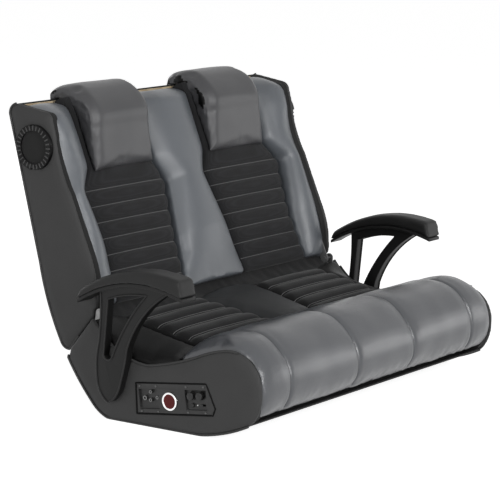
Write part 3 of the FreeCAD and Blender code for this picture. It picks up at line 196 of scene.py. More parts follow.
# %% Edge wear and dust
wear_group, start, end = shade_group("edge wear", [("Amount", 0.5)], ["Mask"])
shape = add(wear_group, "ShaderNodeNewGeometry")
edges = add(wear_group, "ShaderNodeMapRange", {"Value": shape.outputs["Pointiness"], "From Min": 0.52,
            "From Max": 0.62})
place = object_point(wear_group)
patchy = add(wear_group, "ShaderNodeTexNoise", {"Vector": place, "Scale": 60, "Detail": 4})
broken = combine(wear_group, "MULTIPLY", edges.outputs[0], patchy.outputs["Fac"])
worn = combine(wear_group, "MULTIPLY", broken, start.outputs["Amount"], use_clamp=True)
wear_group.links.new(worn, end.inputs["Mask"])

dust_group, start, end = shade_group("settled dust", [("Amount", 0.1)], ["Mask"])
shape = add(dust_group, "ShaderNodeNewGeometry")
upward = add(dust_group, "ShaderNodeSeparateXYZ", {"Vector": shape.outputs["Normal"]})
place = object_point(dust_group)
clouds = add(dust_group, "ShaderNodeTexNoise", {"Vector": place, "Scale": 9, "Detail": 6})
settled = combine(dust_group, "MULTIPLY", upward.outputs["Z"], clouds.outputs["Fac"], use_clamp=True)
dusty = combine(dust_group, "MULTIPLY", settled, start.outputs["Amount"], use_clamp=True)
dust_group.links.new(dusty, end.inputs["Mask"])
print("groups:", wear_group.name, "and", dust_group.name)

# %% [markdown]
# A material starts from one plain Principled shader with its constant values set on the shader itself. The
# layers that follow only add what varies over the surface.

# %% Material helpers
DUST_ON_CLOTH = grey(150)
DUST_ON_PLASTIC = grey(120)
HOLE_TONE = grey(30)


def plain(name, roughness, specular, **sockets):
    """Start a material: returns it, its tree and its shader, with constant values on the shader."""
    material = bpy.data.materials.new(name)
    material.use_nodes = True
    tree = material.node_tree
    shader = tree.nodes["Principled BSDF"]
    shader.inputs["Roughness"].default_value = roughness
    shader.inputs["Specular IOR Level"].default_value = specular
    for label, value in sockets.items():
        shader.inputs[label.replace("_", " ")].default_value = value
    return material, tree, shader


def use_group(tree, group, **inputs):
    """Place a shader group in a material with its own values."""
    node = tree.nodes.new("ShaderNodeGroup")
    node.node_tree = group
    for label, value in inputs.items():
        node.inputs[label].default_value = value
    return node


def mix_colors(tree, mask, low, high):
    """Blend two colours, or a colour and a socket, by a mask."""
    mixer = tree.nodes.new("ShaderNodeMix")
    mixer.data_type = "RGBA"
    tree.links.new(mask, mixer.inputs["Factor"])
    for label, value in (("A", low), ("B", high)):
        socket = [s for s in mixer.inputs if s.name == label and s.type == "RGBA"][0]
        if isinstance(value, bpy.types.NodeSocket):
            tree.links.new(value, socket)
        else:
            socket.default_value = value
    return [s for s in mixer.outputs if s.type == "RGBA"][0]


def relief(tree, shader, height, distance):
    """Turn a height into a bump of a real depth."""
    bump = add(tree, "ShaderNodeBump", {"Height": height, "Distance": distance, "Strength": 1})
    tree.links.new(bump.outputs["Normal"], shader.inputs["Normal"])


def vinyl(name, low, high, roughness, specular, grain=900, depth=0.00025, dust=0.0):
    """Coated fabric: two tones in slow clouds, pressed grain, and dust where it is asked for."""
    material, tree, shader = plain(name, roughness, specular)
    surface = use_group(tree, grain_group, Scale=grain, Unevenness=0.4)
    tone = mix_colors(tree, surface.outputs["Tone"], low, high)
    settled = use_group(tree, dust_group, Amount=dust)
    dusted = mix_colors(tree, settled.outputs["Mask"], tone, DUST_ON_CLOTH)
    tree.links.new(dusted, shader.inputs["Base Color"])
    relief(tree, shader, surface.outputs["Height"], depth)
    return material


def knit(name, low, high, turn):
    """Open knit: dark holes in slightly paler yarn."""
    material, tree, shader = plain(name, 0.85, 0.2, Sheen_Weight=0.15, Sheen_Roughness=0.5)
    surface = use_group(tree, knit_group, Scale=KNIT_SCALE, Turn=turn)
    sharp = add(tree, "ShaderNodeMapRange", {"Value": surface.outputs["Height"], "From Min": 0.25,
                "From Max": 0.55})
    yarn = mix_colors(tree, surface.outputs["Tone"], low, high)
    tree.links.new(mix_colors(tree, sharp.outputs[0], HOLE_TONE, yarn), shader.inputs["Base Color"])
    relief(tree, shader, surface.outputs["Height"], 0.0003)
    return material


def moulded(name, low, worn, roughness, specular, grain=2200, depth=0.00008, wear=0.5):
    """Moulded plastic: spark-eroded grain, rubbed edges and dust."""
    material, tree, shader = plain(name, roughness, specular)
    rubbed = use_group(tree, wear_group, Amount=wear)
    settled = use_group(tree, dust_group, Amount=0.06)
    edge = mix_colors(tree, rubbed.outputs["Mask"], low, worn)
    dusted = mix_colors(tree, settled.outputs["Mask"], edge, DUST_ON_PLASTIC)
    tree.links.new(dusted, shader.inputs["Base Color"])
    surface = use_group(tree, grain_group, Scale=grain, Unevenness=0.1)
    relief(tree, shader, surface.outputs["Height"], depth)
    return material


def metal(name, tone, bright, roughness, brush=(4, 300, 300)):
    """Metal with fine drawn lines and brighter rubbed edges."""
    material, tree, shader = plain(name, roughness, 0.5, Metallic=1)
    drawn = add(tree, "ShaderNodeMapping", {"Vector": object_point(tree), "Scale": brush})
    lines = add(tree, "ShaderNodeTexNoise", {"Vector": drawn.outputs[0], "Scale": 8, "Detail": 4})
    rubbed = use_group(tree, wear_group, Amount=0.8)
    base = mix_colors(tree, lines.outputs["Fac"], tone, bright)
    tree.links.new(mix_colors(tree, rubbed.outputs["Mask"], base, bright), shader.inputs["Base Color"])
    relief(tree, shader, lines.outputs["Fac"], 0.00003)
    return material


def wooden(name, low, high):
    """Board: grain rings stretched along the board."""
    material, tree, shader = plain(name, 0.7, 0.3)
    drawn = add(tree, "ShaderNodeMapping", {"Vector": object_point(tree), "Scale": (2, 2, 14)})
    rings = add(tree, "ShaderNodeTexWave", {"Vector": drawn.outputs[0], "Scale": 3, "Distortion": 5,
                "Detail": 3})
    tree.links.new(mix_colors(tree, rings.outputs["Fac"], low, high), shader.inputs["Base Color"])
    relief(tree, shader, rings.outputs["Fac"], 0.0001)
    return material


# %% [markdown]
# The finishes, one for each material of the record, and a few more for trim. The coated fabrics differ in
# tone and gloss: the side panels are dark and matte, the bolsters a satin grey-blue, and the front roll,
# between them in tone, shines most. Tones are 8-bit picture levels, with a small tint of blue or red.

# %% Finishes
LEAN = math.radians(21.9)
SEAT_SLOPE = math.radians(10.7)
finish = {
    "side_vinyl": vinyl("side vinyl", grey(55), grey(62), 0.6, 0.3, grain=750),
    "silver_vinyl": vinyl("silver vinyl", grey(92, (0, 4, 9)), grey(102, (0, 4, 9)), 0.34, 0.6),
    "roll_vinyl": vinyl("roll vinyl", grey(66, (0, 2, 6)), grey(77, (0, 2, 6)), 0.28, 0.8),
    "headrest_vinyl": vinyl("headrest vinyl", grey(68, (0, 0, 2)), grey(77, (0, 0, 2)), 0.4, 0.45),
    "mesh_fabric": knit("back knit", grey(40), grey(50, (0, 0, 3)), LEAN),
    "board": wooden("plywood", grey(190, (0, -20, -52)), grey(214, (0, -18, -50))),
    "covered_board": vinyl("board under cloth", grey(40), grey(46), 0.8, 0.2, grain=1600, dust=0.04),
    "arm_plastic": moulded("arm plastic", grey(24), grey(84), 0.45, 0.25),
    "arm_pad": moulded("arm pad skin", grey(22), grey(60), 0.5, 0.3, grain=700, depth=0.0002, wear=0.2),
    "trim_plastic": moulded("trim plastic", grey(12), grey(60), 0.4, 0.15),
    "grille_cloth": knit("grille cloth", grey(36), grey(44), 0.0),
    "driver_metal": metal("cast basket", grey(80), grey(110), 0.5),
    "hinge_steel": metal("zinc plate", grey(105), grey(145), 0.5),
    "fastener_steel": metal("blackened screws", grey(52), grey(110), 0.35),
    "panel_plastic": moulded("panel plastic", grey(44), grey(110), 0.35, 0.35, depth=0.00005),
    "ring_chrome": metal("bright ring", grey(225), grey(245), 0.12, brush=(1, 1, 1)),
    "lens_plastic": moulded("dark lens", grey(24, (66, 0, 0)), grey(60), 0.3, 0.2, depth=0.0, wear=0.0),
    "lamp_plastic": moulded("lamp white", grey(240), grey(250), 0.3, 0.5, depth=0.0, wear=0.0),
    "knob_plastic": moulded("knob plastic", grey(22), grey(90), 0.4, 0.4),
    "socket_metal": metal("socket plate", grey(84), grey(130), 0.35, brush=(1, 1, 1)),
    "amp_case": metal("amplifier case", grey(140), grey(180), 0.5),
    "motor_case": moulded("motor paint", grey(70), grey(140), 0.4, 0.4),
    "seat_knit": knit("seat knit", grey(17), grey(24, (0, 0, 2)), -SEAT_SLOPE),
    "strip_vinyl": vinyl("strip vinyl", grey(34, (0, 1, 2)), grey(46, (0, 1, 2)), 0.5, 0.25),
    "dark_vinyl": vinyl("dark vinyl", grey(22), grey(30), 0.5, 0.2),
    "gusset_vinyl": vinyl("gusset vinyl", grey(8), grey(16), 0.35, 0.15, depth=0.0004),
    # near-black cord round the control panel: painted shade in the groove along its edge
    "shade_outline": vinyl("shade_outline", grey(5), grey(9), 0.6, 0.1),
    # ribs paler than the trim they stand on: a painted highlight on them
    "rib_painted_highlight": moulded("rib plastic painted highlight", grey(62), grey(110), 0.4, 0.3),
    "piping": vinyl("piping vinyl", grey(30), grey(36), 0.4, 0.4, grain=1400, depth=0.0001, dust=0.04),
    # pale colour of the cords beside the seams: a painted highlight along each seam's edge
    "seam_highlight": vinyl("painted seam highlight", grey(96), grey(116), 0.6, 0.3, grain=3000, depth=0.0001, dust=0.04),
}
print("finishes:", len(finish))

# %% [markdown]
# Each node of the frame has a material slot in the record. The finish of that slot goes on the node's own
# slots, which leaves its mesh as it is. The plywood sides and rails are the exception: black cloth is glued
# round them, so that no raw wood shows in the slits between the panels and the pads, or where the chair
# opens as it folds.

# %% Finishes on the frame's own nodes
node_slots = {part["node"]: part["material_slot"] for part in frame["record"]["subparts"]}
for name, node in frame["nodes"].items():
    wrapped = "_cheek_" in name or name.endswith("_rail")
    look = "covered_board" if wrapped else node_slots[name]
    for slot in node.material_slots:
        slot.material = finish[look]
print("nodes dressed:", len(node_slots))

# %% [markdown]
# The fold line is the axis of the hinge pins. The seat slopes down to the rear and the back leans from it,
# so a frame for each makes the rest simple: y runs to the rear and z upwards, square to the seat or back.

# %% Seat frame and back frame
pin_low, pin_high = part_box("hinge_pins")
PIVOT = (pin_low + pin_high) / 2
SEAT = Matrix.Translation(PIVOT) @ Matrix.Rotation(SEAT_SLOPE, 4, "X")
BACK = Matrix.Translation(PIVOT) @ Matrix.Rotation(-LEAN, 4, "X")
SIDES = {"left": -1, "right": 1}
print("fold line at", [round(value, 4) for value in PIVOT])

# %% [markdown]
# A node of the frame is loose triangles, so a copy is welded before it is worked on. Each new piece keeps its
# place in its mesh, with its object at the origin, and takes the body and the material slot of its node.

# %% Mesh helpers
WELD = 0.00002


def welded(node):
    """Copy a node's mesh and join its loose triangles."""
    work = bmesh.new()
    work.from_mesh(frame["nodes"][node].data)
    bmesh.ops.remove_doubles(work, verts=work.verts, dist=WELD)
    return work


def cut(work, place, across, snap=WELD, clear_outer=False):
    """Cut a mesh along a plane, and clear away what lies beyond it if that is asked."""
    everything = work.verts[:] + work.edges[:] + work.faces[:]
    bmesh.ops.bisect_plane(work, geom=everything, dist=snap, plane_co=place, plane_no=across,
                           clear_outer=clear_outer)


def finished(name, work):
    """Turn a bmesh into a smooth-shaded object at the origin."""
    mesh = bpy.data.meshes.new(name)
    work.to_mesh(mesh)
    work.free()
    mesh.shade_smooth()
    piece = bpy.data.objects.new(name, mesh)
    scene.collection.objects.link(piece)
    return piece


def settle(piece):
    """Make the modifiers of a piece part of its mesh."""
    depsgraph = bpy.context.evaluated_depsgraph_get()
    made = bpy.data.meshes.new_from_object(piece.evaluated_get(depsgraph))
    piece.modifiers.clear()
    piece.data = made
    made.shade_smooth()
    return piece


def points_of(mesh):
    """Corner points of a mesh as an array."""
    flat = np.empty(len(mesh.vertices) * 3)
    mesh.vertices.foreach_get("co", flat)
    return flat.reshape(-1, 3)


def normals_of(mesh):
    """Outward directions at the corners of a mesh as an array."""
    flat = np.empty(len(mesh.vertices) * 3)
    mesh.vertex_normals.foreach_get("vector", flat)
    return flat.reshape(-1, 3)


def move_points(mesh, points):
    """Put the corners of a mesh at new places."""
    mesh.vertices.foreach_set("co", points.ravel())
    mesh.update()


def cover(piece, look):
    """Give a piece one finish."""
    piece.data.materials.clear()
    piece.data.materials.append(finish[look])
    return piece


def stand_for(piece, node, look=None):
    """Let a piece stand for a node, on its body and in its material slot."""
    cover(piece, look or node_slots[node])
    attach(piece, frame["nodes"][node]["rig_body"])
    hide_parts(node)
    return piece


def add_trim(piece, body, look):
    """Put a piece that has no node of its own on a body."""
    cover(piece, look)
    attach(piece, body)
    return piece


# %% [markdown]
# A plain pad is foam pushed into a sewn cover, so it swells until the cover is tight. Here the cover is an
# even grid of small squares, made by a voxel remesh, and cloth pressure swells it for a moment without
# gravity. A cap keeps every point near the plain solid, because the neighbours leave only a little room.

# %% Filled covers
PRESSURE = 4
LAST_FRAME = 20
SLACK_PARTS = 3
FOLD_REACH = 0.06
HOLD_FROM = 0.4
SMOOTH_SHARE = 0.5
BOARD_GAP = 0.0006


def fold_hold(points):
    """How freely a point may swell: 0 on the fold, where seat and back pass each other, 1 away from it."""
    away = np.hypot(points[:, 1] - PIVOT.y, points[:, 2] - PIVOT.z)
    return np.clip(away / FOLD_REACH - HOLD_FROM, 0, 1)[:, None]


def swell(piece, cap):
    """Fill a cover by cloth pressure, each point moving no further than the cap."""
    rest = points_of(piece.data)
    hold = fold_hold(rest)
    move_points(piece.data, rest - normals_of(piece.data) * hold * cap / SLACK_PARTS)
    cloth = piece.modifiers.new("filling", "CLOTH")
    cloth.settings.use_pressure = True
    cloth.settings.uniform_pressure_force = PRESSURE
    cloth.settings.effector_weights.gravity = 0
    cloth.point_cache.frame_start = 1
    cloth.point_cache.frame_end = LAST_FRAME
    for number in range(1, LAST_FRAME + 1):
        scene.frame_set(number)
    settle(piece)
    scene.frame_set(1)
    push = points_of(piece.data) - rest
    length = np.maximum(np.linalg.norm(push, axis=1, keepdims=True), 1e-9)
    move_points(piece.data, rest + push * np.minimum(1, cap / length) * hold)


def board_edge(node, cuts):
    """Part of a side board that a cover wraps. A cut is (place, direction in which all is taken away)."""
    work = welded(node)
    for place, away in cuts:
        cut(work, place, away, clear_outer=True)
        bmesh.ops.holes_fill(work, edges=[edge for edge in work.edges if len(edge.link_faces) == 1])
    bmesh.ops.recalc_face_normals(work, faces=work.faces)
    work.normal_update()
    for vert in work.verts:
        vert.co += vert.normal * BOARD_GAP
    return work


def even_grid(piece, voxel):
    """Wrap a piece in an even grid of small squares."""
    grid = piece.modifiers.new("even grid", "REMESH")
    grid.mode = "VOXEL"
    grid.voxel_size = voxel


def smooth_out(piece, rounds):
    """Even a cover out, and make its modifiers part of its mesh."""
    smoothing = piece.modifiers.new("relax", "SMOOTH")
    smoothing.factor = SMOOTH_SHARE
    smoothing.iterations = rounds
    return settle(piece)


def filled_cover(node, voxel=0.006, cap=0.006, relax=5, boards=()):
    """Even grid of squares round a soft node and the boards it wraps, filled and relaxed."""
    shape = welded(node)
    for board in boards:
        holder = bpy.data.meshes.new("board")
        board.to_mesh(holder)
        board.free()
        shape.from_mesh(holder)
    piece = finished(node + "_cover", shape)
    even_grid(piece, voxel)
    settle(piece)
    swell(piece, cap)
    return smooth_out(piece, relax)


# %% [markdown]
# Every cover then gets shallow folds from noise and one level of subdivision. Most soft pieces come in a
# pair, so the left one is made and its twin is a mirrored copy, whose faces are turned to point outwards.

# %% Folds, rounding and twins
def crumple(piece, height, spacing, stretch=(1, 1, 1), facing=None):
    """Raise shallow folds over a cover, longer along the axes with a small stretch value."""
    points, normals = points_of(piece.data), normals_of(piece.data)
    frequency = Vector(stretch) / spacing
    rise = [noise.noise(Vector(p) * frequency) for p in points]
    weight = np.ones(len(points)) if facing is None else np.clip(normals @ np.array(facing), 0, 1)
    move_points(piece.data, points + normals * (np.array(rise) * weight * height)[:, None])


def round_off(piece):
    """One level of subdivision, for a smooth cover."""
    subdivision = piece.modifiers.new("round", "SUBSURF")
    subdivision.levels = 1
    subdivision.render_levels = 1
    return piece


def twin(piece, name):
    """Copy a piece to the other side of the chair."""
    work = bmesh.new()
    work.from_mesh(piece.data)
    bmesh.ops.scale(work, vec=(-1, 1, 1), verts=work.verts)
    bmesh.ops.reverse_faces(work, faces=work.faces)
    return finished(name, work)


def soft_pair(stem, shape, look=None):
    """Make a soft piece for the left node, and its twin for the right one."""
    left = shape(stem + "_left")
    right = twin(left, stem + "_right_cover")
    for piece, side in ((left, "left"), (right, "right")):
        round_off(piece)
        stand_for(piece, "%s_%s" % (stem, side), look)
    return left, right


# %% [markdown]
# Piping, rims and the pale cords painted as highlights beside the seams are thin round cords that follow a
# line.
# A curve with a round bevel makes one, and it is turned into a mesh at once.

# %% Cords along a line
def finer(points, spacing, closed):
    """Points at an even spacing along a line."""
    line = points + points[:1] if closed else points
    fine = []
    for a, b in zip(line, line[1:]):
        steps = max(1, round((b - a).length / spacing))
        fine += [a.lerp(b, i / steps) for i in range(steps)]
    return fine if closed else fine + [line[-1]]


def tube(name, points, radius, closed=False):
    """A round cord along points, as a mesh."""
    curve = bpy.data.curves.new(name, "CURVE")
    curve.dimensions = "3D"
    curve.bevel_depth = radius
    curve.bevel_resolution = 2
    curve.use_fill_caps = not closed
    spline = curve.splines.new("POLY")
    spline.points.add(len(points) - 1)
    for target, point in zip(spline.points, points):
        target.co = (*point, 1)
    spline.use_cyclic_u = closed
    holder = bpy.data.objects.new(name + "_path", curve)
    scene.collection.objects.link(holder)
    depsgraph = bpy.context.evaluated_depsgraph_get()
    mesh = bpy.data.meshes.new_from_object(holder.evaluated_get(depsgraph))
    bpy.data.objects.remove(holder)
    mesh.shade_smooth()
    piece = bpy.data.objects.new(name, mesh)
    scene.collection.objects.link(piece)
    return piece


# %% [markdown]
# Channelled pads are tubes of foam side by side, with a stitched seam pulled down between each two. A voxel
# remesh would wipe out seams this narrow, so such a pad starts from a grid whose rows crowd at the seams.
# Its rim rolls over, pressure fills it, and a formula then draws its top down along each seam.

# %% Grid of a channelled pad
ROW_SHARES = (0, 0.04, 0.1, 0.2, 0.35, 0.5, 0.65, 0.8, 0.9, 0.96)
COLUMNS = 46
PAD_ROLL = 0.014
END_START = PAD_ROLL / 3
PAD_CAP = 0.004
PAD_FOLDS = dict(spacing=0.03, stretch=(0.5, 1, 1))
SEAM_SHARPNESS = 2.6
TOP_FACING = 0.3


def rows_of(start, end, count):
    """Places along a pad, crowded towards each seam."""
    step = (end - start) / count
    return [start + step * (number + share) for number in range(count) for share in ROW_SHARES] + [end]


def hollow_at(along, start, end, count):
    """How far a place is drawn down by its seams: 1 on a seam, 0 in the middle of a channel."""
    share = (along - start) / (end - start) * count % 1
    return abs(2 * share - 1) ** SEAM_SHARPNESS


def channel_grid(name, rows, edges, underside, lift, place):
    """Closed pad from a grid: rows run across, columns follow the two slanted edges."""
    work = bmesh.new()
    bmesh.ops.create_grid(work, x_segments=COLUMNS, y_segments=len(rows) - 1, size=0.5)
    rolled = work.verts.layers.float.new("rolled")
    for vert in work.verts:
        column = round((vert.co.x + 0.5) * COLUMNS) / COLUMNS
        along = rows[round((vert.co.y + 0.5) * (len(rows) - 1))]
        near, far = edges(along)
        across = near + (far - near) * (0.5 - 0.5 * math.cos(math.pi * column))
        ends = min(along - rows[0], rows[-1] - along) + END_START
        rim = min(across - near, far - across, ends)
        vert.co = (across, along, underside)
        vert[rolled] = min(1, max(0, 1 - rim / PAD_ROLL))
    top = bmesh.ops.extrude_face_region(work, geom=work.faces[:], use_keep_orig=True)
    for vert in [item for item in top["geom"] if isinstance(item, bmesh.types.BMVert)]:
        vert.co.z = lift(vert.co.x, vert.co.y) - PAD_ROLL * (1 - math.sqrt(1 - vert[rolled] ** 2))
    work.verts.layers.float.remove(rolled)
    bmesh.ops.transform(work, matrix=place, verts=work.verts)
    bmesh.ops.recalc_face_normals(work, faces=work.faces)
    return finished(name, work)


def pull_seams(piece, place, start, end, count, depth, limit=math.inf):
    """Draw the top of a pad down along its seams, up to a limit past which it is plain."""
    inward = place.inverted()
    down = (place.to_3x3() @ Vector((0, 0, -1))).normalized()
    points, normals = points_of(piece.data), normals_of(piece.data)
    for point, normal in zip(points, normals):
        if normal @ np.array(down) < -TOP_FACING:
            along = (inward @ Vector(point)).y
            if along < limit:
                point += np.array(down) * depth * hollow_at(along, start, end, count)
    move_points(piece.data, points)


# %% [markdown]
# Beside each seam the edge of the cover catches the light in a thin line. A fine pale cord is painted there
# as that highlight, on the slope that faces the light. Rays cast down on the finished pad find where it lies,
# and the cord follows it.

# %% Painted highlights beside the seams
LINE_RADIUS = 0.0008
LINE_LIFT = 0.0004
LINE_STEPS = 40
LINE_SHIFT = 0.0028
RAY_HEIGHT = 0.05


def seam_highlight_cords(stem, pads, place, places, edges, body):
    """Pale cord beside each seam of a pair of pads: a painted highlight where the seam's edge catches the
    light.
    """
    work = bmesh.new()
    work.from_mesh(pads[0].data)
    surface = bvhtree.BVHTree.FromBMesh(work)
    work.free()
    up = (place.to_3x3() @ Vector((0, 0, 1))).normalized()
    joined = bmesh.new()
    for along in places:
        near, far = edges(along)
        points = []
        for number in range(1, LINE_STEPS):
            across = near + (far - near) * number / LINE_STEPS
            hit = surface.ray_cast(place @ Vector((across, along, RAY_HEIGHT)), -up)[0]
            points.append(hit + up * LINE_LIFT)
        line = tube(stem, points, LINE_RADIUS)
        joined.from_mesh(line.data)
        bpy.data.objects.remove(line)
    left = finished(stem + "_left", joined)
    for piece in (left, twin(left, stem + "_right")):
        add_trim(piece, body, "seam_highlight")


# %% [markdown]
# The seat pad has five channels from front to rear. Its outer edge is straight and its inner edge slants
# along the middle strip, so both edges are worked out from the place along the seat.

# %% Channelled seat pads
SEAT_CHANNELS = 5
SEAT_FRONT = -0.248
SEAT_REAR = -0.016
SEAT_TOP = -0.008
SEAT_BOTTOM = -0.061
SEAT_OUTER = 0.389
SEAT_INNER_REAR = 0.120
SEAT_INNER_FRONT = 0.079
SEAT_CROWN = 0.004
SEAT_SEAM_DEPTH = 0.010
SEAT_UP = (SEAT.to_3x3() @ Vector((0, 0, 1))).normalized()


def seat_edges(along):
    """Outer and inner edge of the seat pad at a place along it."""
    share = (along - SEAT_FRONT) / (SEAT_REAR - SEAT_FRONT)
    return -SEAT_OUTER, -(SEAT_INNER_FRONT + (SEAT_INNER_REAR - SEAT_INNER_FRONT) * share)


def seat_lift(across, along):
    """Height of the seat pad's top, crowned across its widest part."""
    middle = (SEAT_OUTER + SEAT_INNER_FRONT) / 2
    spread = (SEAT_OUTER - SEAT_INNER_FRONT) / 2
    return SEAT_TOP + SEAT_CROWN * (1 - ((-across - middle) / spread) ** 2)


def seat_pad(node):
    """One channelled seat pad."""
    rows = rows_of(SEAT_FRONT, SEAT_REAR, SEAT_CHANNELS)
    piece = channel_grid(node + "_cover", rows, seat_edges, SEAT_BOTTOM, seat_lift, SEAT)
    swell(piece, PAD_CAP)
    pull_seams(piece, SEAT, SEAT_FRONT, SEAT_REAR, SEAT_CHANNELS, SEAT_SEAM_DEPTH)
    crumple(piece, height=0.0012, facing=SEAT_UP, **PAD_FOLDS)
    return piece


seat_pads = soft_pair("seat_cushion", seat_pad, look="seat_knit")
seat_step = (SEAT_REAR - SEAT_FRONT) / SEAT_CHANNELS
seat_places = [SEAT_FRONT + seat_step * number + LINE_SHIFT for number in range(1, SEAT_CHANNELS)]
seam_highlight_cords("seat_seam_highlight", seat_pads, SEAT, seat_places, seat_edges, "root")
print("seat pad faces:", len(seat_pads[0].data.polygons))

# %% [markdown]
# The back pad has a waist, so its two edges follow a short table of heights. The headrest hides the top of
# the pad, which is left plain above the last seam that shows.

# %% Channelled back pads
BACK_CHANNELS = 13
PLAIN_FROM = 8
BACK_LOW = 0.014
BACK_TOP = 0.528
BACK_FACE = -0.0084
BACK_REAR = -0.048
BACK_CROWN = 0.004
BACK_SEAM_DEPTH = 0.007
PANEL_EDGES = ((0.014, 0.388, 0.119), (0.144, 0.381, 0.102), (0.285, 0.401, 0.076), (0.345, 0.350, 0.104),
               (0.540, 0.350, 0.104))
BACK_FLAT = BACK @ Matrix.Rotation(math.radians(90), 4, "X")
BACK_OUT = (BACK.to_3x3() @ Vector((0, -1, 0))).normalized()


def back_edges(along):
    """Outer and inner edge of the back panel at a height."""
    for (low, outer, inner), (high, next_outer, next_inner) in zip(PANEL_EDGES, PANEL_EDGES[1:]):
        if along <= high:
            share = max(0, (along - low) / (high - low))
            return -(outer + (next_outer - outer) * share), -(inner + (next_inner - inner) * share)


def back_lift(across, along):
    """How far the back pad's face stands out, crowned between its edges."""
    near, far = back_edges(along)
    share = (across - near) / (far - near) * 2 - 1
    return BACK_FACE + BACK_CROWN * (1 - share * share)


def back_pad(node):
    """One channelled back pad."""
    rows = rows_of(BACK_LOW, BACK_TOP, BACK_CHANNELS)
    piece = channel_grid(node + "_cover", rows, back_edges, BACK_REAR, back_lift, BACK_FLAT)
    swell(piece, PAD_CAP)
    channelled = BACK_LOW + (BACK_TOP - BACK_LOW) * (PLAIN_FROM - 0.5) / BACK_CHANNELS
    pull_seams(piece, BACK_FLAT, BACK_LOW, BACK_TOP, BACK_CHANNELS, BACK_SEAM_DEPTH, limit=channelled)
    crumple(piece, height=0.0010, facing=BACK_OUT, **PAD_FOLDS)
    return piece


back_pads = soft_pair("back_cushion", back_pad)
back_step = (BACK_TOP - BACK_LOW) / BACK_CHANNELS
back_places = [BACK_LOW + back_step * number - LINE_SHIFT for number in range(1, PLAIN_FROM)]
seam_highlight_cords("back_seam_highlight", back_pads, BACK_FLAT, back_places, back_edges, "backrest")
print("back pad faces:", len(back_pads[0].data.polygons))

# %% [markdown]
# The plain pads round the channelled ones are coated fabric over softer foam, so they are smoother and carry
# long shallow folds along their length. The side bolsters also wrap the edges of the plywood beside them.

# %% Bolsters and the strips between the seats
ROLL_REAR = Vector((0, -0.137, 0))
ROLL_FOOT = Vector((0, 0, 0.05))
FORWARD, REARWARD, DOWN = Vector((0, -1, 0)), Vector((0, 1, 0)), Vector((0, 0, -1))
BACK_WRAP = 0.05
SEAT_WRAP = 0.08
BOLSTER_INNER = 0.385
BOLSTER_OUTER = 0.476
BOLSTER_FALL = 0.009
BOLSTER_CROWN = 0.004
BOLSTER_FRONT = 0.06
BOLSTER_BLEND = 0.04
FOLD_CLEAR = 0.06
CROWN_RISE = 3


def clamped(value):
    """Keep a share between 0 and 1."""
    return min(1, max(0, value))


def round_bolster(piece):
    """Crown the face of a back bolster, and let it fall away towards the outside of the chair."""
    inward = BACK.inverted()
    points = points_of(piece.data)
    for point in points:
        place = inward @ Vector(point)
        across = clamped((abs(place.x) - BOLSTER_INNER) / (BOLSTER_OUTER - BOLSTER_INNER))
        upper = clamped((place.z - FOLD_CLEAR) / FOLD_CLEAR / CROWN_RISE)
        front = clamped((BOLSTER_FRONT - place.y) / BOLSTER_BLEND)
        crown = BOLSTER_CROWN * math.sin(math.pi * across) * upper * upper * (3 - 2 * upper)
        push = crown - BOLSTER_FALL * across ** 3
        point += np.array(BACK_OUT) * push * front
    move_points(piece.data, points)


def back_bolster(node):
    """Side bolster of the back, round the edge of its plywood side."""
    edge = board_edge("back_cheek_left", [(BACK @ Vector((0, BACK_WRAP, 0)), -BACK_OUT)])
    piece = filled_cover(node, cap=0.006, relax=12, boards=[edge])
    round_bolster(piece)
    crumple(piece, height=0.0018, spacing=0.06, stretch=(1, 1, 0.35))
    return piece


def seat_bolster(node):
    """Side bolster of the seat, round the edge of its plywood side and behind the roll."""
    cuts = [(SEAT @ Vector((0, 0, -SEAT_WRAP)), -SEAT_UP), (ROLL_REAR, FORWARD)]
    piece = filled_cover(node, cap=0.004, relax=4, boards=[board_edge("seat_cheek_left", cuts)])
    crumple(piece, height=0.0012, spacing=0.04, stretch=(1, 0.4, 1))
    return piece


soft_pair("back_bolster", back_bolster)
soft_pair("seat_bolster", seat_bolster, look="dark_vinyl")

middle = filled_cover("back_center_bolster", cap=0.006, relax=6)
crumple(middle, height=0.0018, spacing=0.06, stretch=(1, 1, 0.4))
stand_for(round_off(middle), "back_center_bolster")

strip = filled_cover("seat_center_strip", cap=0.006, relax=5)
crumple(strip, height=0.001, spacing=0.05, stretch=(1, 0.5, 1))
stand_for(round_off(strip), "seat_center_strip", look="strip_vinyl")
print("middle bolster faces:", len(middle.data.polygons))

# %% [markdown]
# The front roll is one long pad with four seams round it, so it stands in five sections. Each section is
# fullest in its middle, and the cover is gathered in small pleats beside the seams and along its hem.

# %% Front roll
ROLL_SEAMS = (-0.390, -0.119, 0.119, 0.390)
ROLL_SEAM_DEPTH = 0.006
ROLL_SEAM_WIDTH = 0.0032
ROLL_FACING = Vector((0, -0.7, 0.7))
SEAM_SNAP = 0.00001
SEAM_FACING = 0.05
SEAM_REACH = 3
ROLL_HEM = 0.055
HEM_REACH = 0.03
SEAM_GATHER = 0.011
SEAM_PLEATS = 0.6
PLEAT_HEIGHT = 0.0022
PLEAT_SIZES = (0.013, 0.05, 0.03)


def sew(piece, seams, facing, width):
    """Pull seams into the side of a cover that faces one way. A seam is (point, direction across, depth)."""
    work = bmesh.new()
    work.from_mesh(piece.data)
    for point, across, _ in seams:
        for shift in (-width, 0, width):
            cut(work, point + across * shift, across, SEAM_SNAP)
    work.normal_update()
    for vert in work.verts:
        if vert.normal.dot(facing) < SEAM_FACING:
            continue
        drop = 0
        for point, across, depth in seams:
            far = (vert.co - point).dot(across) / width
            if abs(far) < SEAM_REACH:
                drop += depth * math.exp(-far * far)
        vert.co -= vert.normal * drop
    work.to_mesh(piece.data)
    work.free()


def noise_over(point, sizes):
    """Smooth noise, with folds of a size of their own along each axis."""
    return noise.noise(Vector([value / size for value, size in zip(point, sizes)]))


